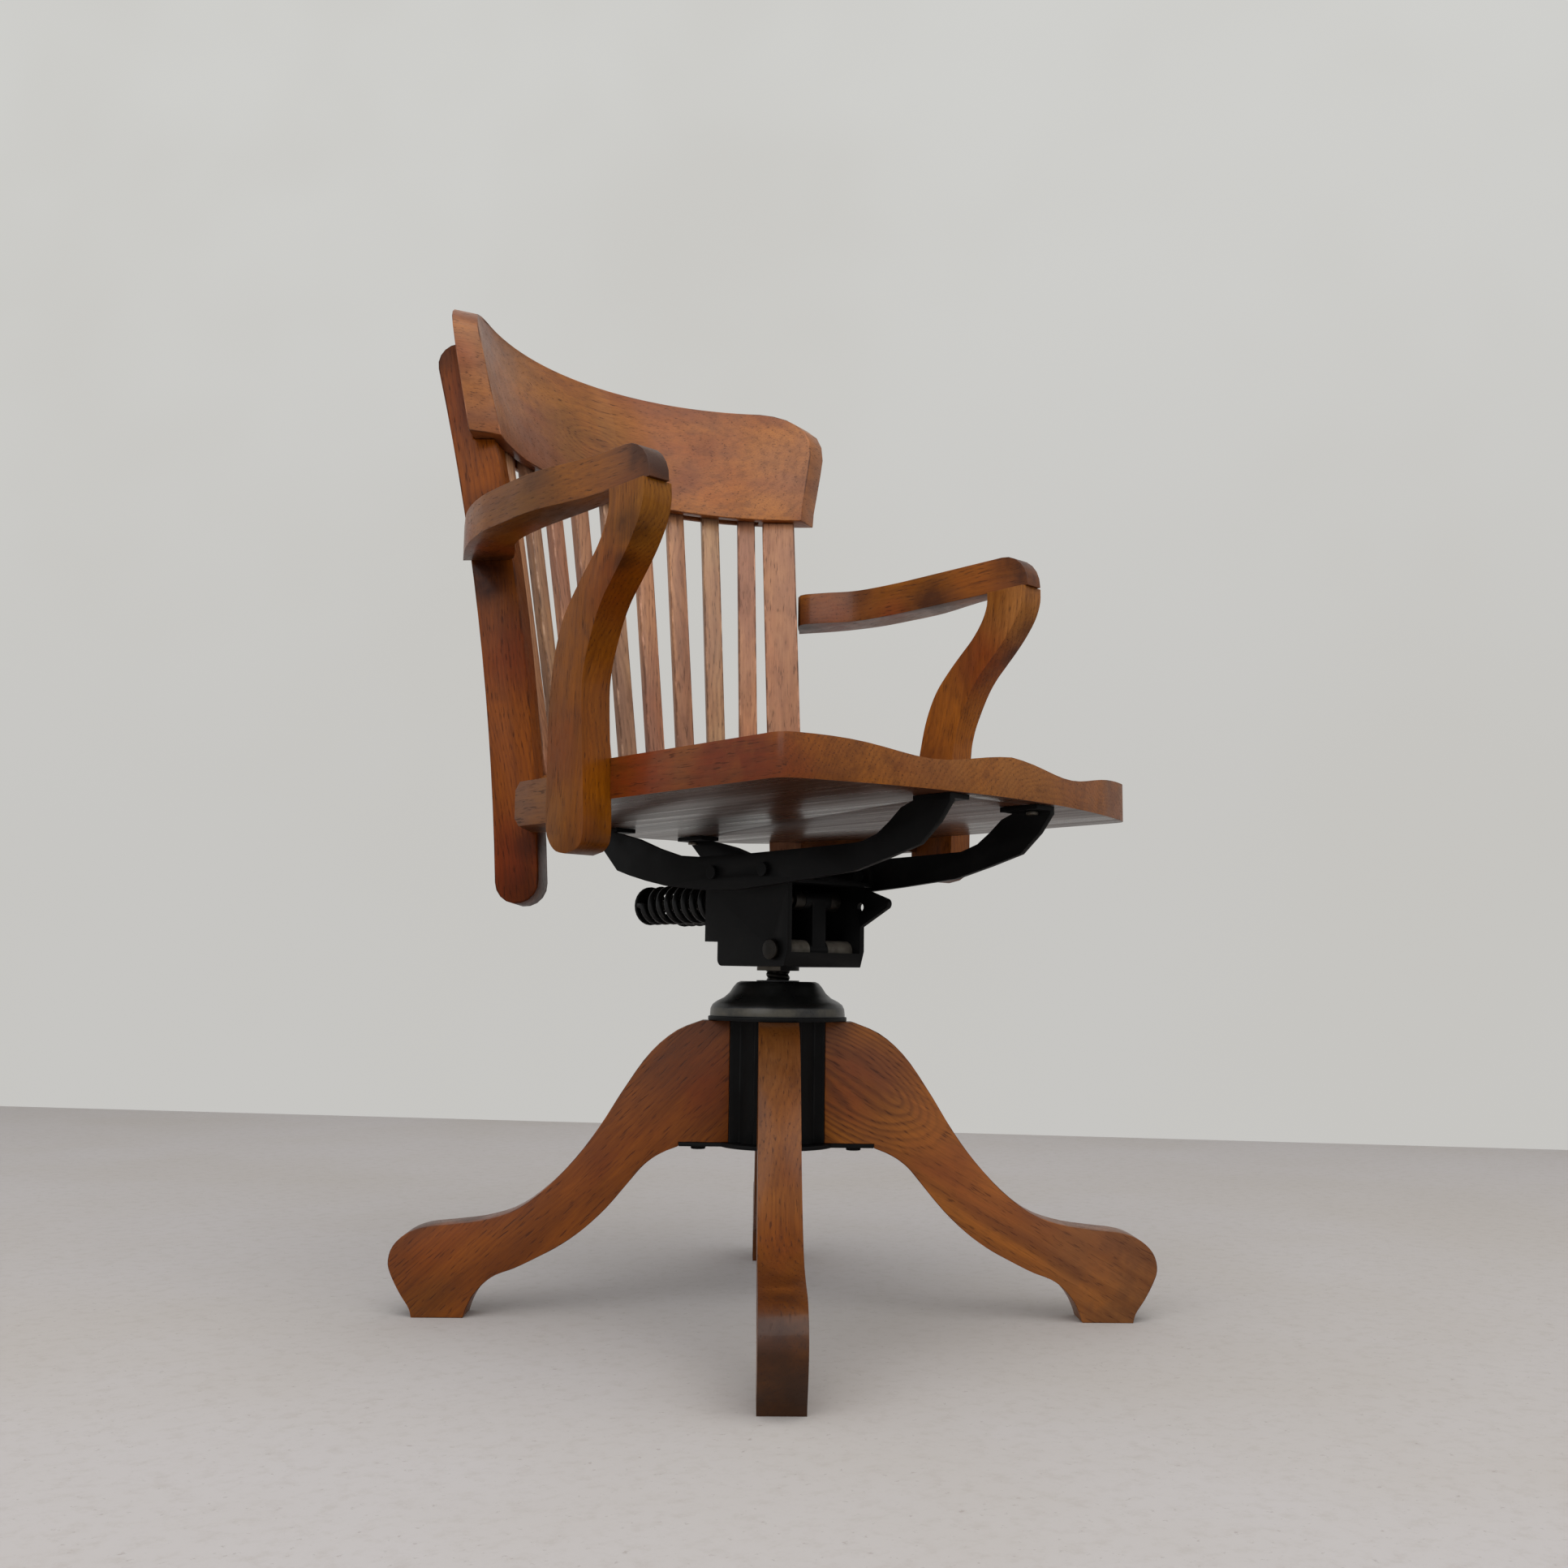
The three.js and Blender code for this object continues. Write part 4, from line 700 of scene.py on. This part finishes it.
def dress_wood():
    for index in range(1, 5):
        dress("leg_%d" % index, leg_material(index), BOARD_EDGE)
    seat = oak(
        "oak_seat", (0, 1, 0), (0, 0, 1), (0.08, 0, 0.33), srgb(*SEAT), 5.2, 0.2, 230.0, SEAT_ZONES,
        under=srgb(*UNDER), gloss=0.75,
    )
    dress("seat", seat, BOARD_EDGE, angle=50)
    crest = oak(
        "oak_crest", (1, 0, 0), (0, -1, 0), (0, 0.30, 0.848), srgb(*CREST), 7.9, 0.34, 130.0, CREST_ZONES,
        oval=((-0.02, 0.25, 0.848), 0.032, 0.026),
    )
    dress("crest_rail", crest, BOARD_EDGE, angle=50)
    for side, sign in (("left", 1), ("right", -1)):
        dress_side(side, sign)
    for index in range(1, 10):
        angle = math.radians((index - 5) * SLAT_STEP_DEG)
        radial = Vector((math.sin(angle), math.cos(angle), 0))
        heart = (0.2 * radial.x + 0.01, 0.2 * radial.y, 0.6)
        # The dark zone at each slat's top, just under the crest, is painted shade.
        zones = [
            ("dark", 0.262 * radial.x, 0.262 * radial.y - 0.01, 0.795, 0.022, 0.75),
            ("red", 0.235 * radial.x, 0.235 * radial.y - 0.04, 0.47, 0.05, 0.5),
        ]
        material = oak(
            "oak_slat_%d" % index, radial * RAKE + UP, radial, heart, srgb(*SLATS[index % 3]),
            21.0 + index * 1.7, 0.4, 240.0, zones,
        )
        dress("slat_%d" % index, material, SLAT_EDGE, segments=2)


def dress_side(side, sign):
    """The stile, support, rest and spacer of one side. sign is that of its X."""
    right = side == "right"
    radial = Vector((sign * math.sin(math.radians(STILE_DEG)), math.cos(math.radians(STILE_DEG)), 0))
    stile = oak(
        "oak_stile_" + side, radial * RAKE + UP, radial, (sign * 0.1, 0.07, 0.6), srgb(*STILES[side]),
        9.3 + sign, 0.25, 240.0, mirrored(SHADED_AND_STAINED_STILE_ZONES if right else STILE_ZONES, sign),
        gloss=0.4 if right else 1.0,
    )
    dress("stile_" + side, stile, BOARD_EDGE)
    support = oak(
        "oak_support_" + side, (0, -0.12, 1), (1, 0, 0), (sign * 0.15, -0.05, 0.52), srgb(*SUPPORTS[side]),
        12.4 + sign, 0.25, 230.0, mirrored(SUPPORT_ZONES, sign), gloss=0.6,
    )
    dress("arm_support_" + side, support, SUPPORT_EDGE)
    rest = oak(
        "oak_rest_" + side, (0, 1, 0), (0, 0, 1), (sign * 0.2, 0, 0.6), srgb(*RESTS[side]),
        15.6 + sign, 0.2, 220.0, mirrored(REST_ZONES, sign),
    )
    dress("arm_rest_" + side, rest, REST_EDGE, segments=5)
    spacer = oak(
        "oak_spacer_" + side, (0, 1, 0), (1, 0, 0), (sign * 0.13, 0, 0.43), srgb(*SPACER),
        19.0 + sign, 0.2, 240.0, mirrored(SPACER_ZONES, sign),
    )
    dress("spacer_" + side, spacer, BOARD_EDGE)


def mirrored(zones, sign):
    """Zones written for the right side, taken to the side of the sign."""
    return [(kind, -sign * x, y, z, reach, strength) for kind, x, y, z, reach, strength in zones]


def dress_metal():
    black = iron("iron_black")
    head = iron("iron_head", bare=barrel_bare_and_highlight)
    nut = iron("iron_nut", (13, 13, 12), (0.25, 0.4), 0.1, 0.35, rim=(0.2575, 0.2635))
    oiled = iron("iron_spring", (10, 10, 10), (0.32, 0.48), 0.15, 0.25)
    dark = steel("steel_dark", (44, 41, 37), (0.35, 0.5), 0.5)
    bright = steel("steel_bright")
    for entry in frame["record"]["subparts"]:
        node, slot = entry["node"], entry["material_slot"]
        if "oak" in slot:
            continue
        if node == "height_nut":
            dress(node, nut, 0.0, smooth=35)  # its moulding is round as it is
        elif node == "spindle_head":
            dress(node, head, HEAD_EDGE, segments=2)
        elif node == "spindle":
            spindle(dark)
        elif slot == "spring_steel":
            side = node.split("_")[1]
            spring(side, 1 if side == "left" else -1, oiled)
        elif slot == "bright_steel":
            turned = bright if "screw" in node or "bush" in node else dark
            dress(node, turned, IRON_EDGE, segments=2)
        else:
            dress(node, black, IRON_EDGE, segments=2, smooth=28)


# Surroundings

FLOOR_HALF = 9  # half the floor's width, in metres
WALL_HEIGHT = 5
WALL_SPARE = 6  # how far the wall runs on beyond the picture on each side
WORLD_COLOUR = (0.95, 0.97, 1.0, 1)
WORLD_STRENGTH = 0.84
WALL_LEFT = Vector((0.1103, 2.5533, 0))  # the wall's foot at the picture's left side
WALL_RIGHT = Vector((2.0616, 0.0942, 0))  # the wall's foot at the picture's right side


def plane(name, corners, material):
    mesh = bpy.data.meshes.new(name)
    mesh.from_pydata(corners, [], [(0, 1, 2, 3)])
    mesh.materials.append(material)
    obj = bpy.data.objects.new(name, mesh)
    bpy.context.scene.collection.objects.link(obj)


def floor_material():
    """Pale grey concrete with fine grit."""
    t = Tree("floor")
    place = t.coordinates()
    broad = t.noise(place, 1.4, 4.0, 0.6)
    fine = t.noise(place, 70.0, 5.0, 0.7)
    grit = t.noise(place, 160.0, 3.0, 0.7)
    colour = t.mix(t.mapped(broad, 0.35, 0.7), srgb(177, 172, 170), srgb(173, 167, 162))
    colour = t.mix(t.mapped(fine, 0.45, 0.75, 0.0, 0.3), colour, srgb(152, 142, 134))
    colour = t.mix(t.mapped(grit, 0.62, 0.72, 0.0, 0.4), colour, srgb(126, 116, 107))
    return t.principled(colour, 0.85, t.bump(fine, 0.12, 0.0015), Specular_IOR_Level=0.3)


def wall_material():
    """A painted wall that looks evenly lit from the camera and in reflections."""
    t = Tree("wall")
    place = t.coordinates()
    broad = t.noise(place, 0.9, 3.0, 0.6)
    colour = t.mix(t.mapped(t.split(place)[2], 0.4, 2.4), srgb(199, 198, 195), srgb(208, 208, 205))
    colour = t.mix(t.mapped(broad, 0.35, 0.75, 0.0, 0.5), colour, srgb(197, 195, 190))
    seen = t.add("ShaderNodeEmission")
    t.put(seen.inputs["Color"], colour)
    lit = t.add("ShaderNodeBsdfDiffuse")
    t.put(lit.inputs["Color"], colour)
    path = t.add("ShaderNodeLightPath")
    direct = t.math("MAXIMUM", path.outputs["Is Camera Ray"], path.outputs["Is Glossy Ray"])
    direct = t.math("MAXIMUM", direct, path.outputs["Is Transmission Ray"])
    mixer = t.add("ShaderNodeMixShader")
    t.put(mixer.inputs[0], direct)
    t.join(lit.outputs[0], mixer.inputs[1])
    t.join(seen.outputs[0], mixer.inputs[2])
    return t.finish(mixer.outputs[0])


def area_light(name, place, target, side, power, colour):
    """A square lamp at the place, turned to the target."""
    data = bpy.data.lights.new(name, "AREA")
    data.shape = "RECTANGLE"
    data.size = data.size_y = side
    data.energy = power
    data.color = colour
    light = bpy.data.objects.new(name, data)
    light.location = place
    light.rotation_euler = (Vector(target) - Vector(place)).to_track_quat("-Z", "Y").to_euler()
    bpy.context.scene.collection.objects.link(light)


def surroundings():
    half = FLOOR_HALF
    corners = [(-half, -half, 0), (half, -half, 0), (half, half, 0), (-half, half, 0)]
    plane("floor", corners, floor_material())
    along = (WALL_RIGHT - WALL_LEFT).normalized()
    a, b = WALL_LEFT - along * WALL_SPARE, WALL_RIGHT + along * WALL_SPARE
    plane("wall", [a, b, b + UP * WALL_HEIGHT, a + UP * WALL_HEIGHT], wall_material())
    world = bpy.data.worlds.new("world")
    bpy.context.scene.world = world
    world.use_nodes = True
    background = world.node_tree.nodes["Background"]
    background.inputs["Color"].default_value = WORLD_COLOUR
    background.inputs["Strength"].default_value = WORLD_STRENGTH
    chair = (0, 0, 0.45)
    area_light("sky", (-0.6, -1.6, 3.3), chair, 3.6, 76, (1.0, 0.99, 0.97))
    area_light("window", (-3.0, -0.8, 1.9), chair, 2.0, 30, (0.97, 0.98, 1.0))


make_camera()
dress_wood()
dress_metal()
surroundings()
bpy.context.scene.view_settings.view_transform = "Standard"
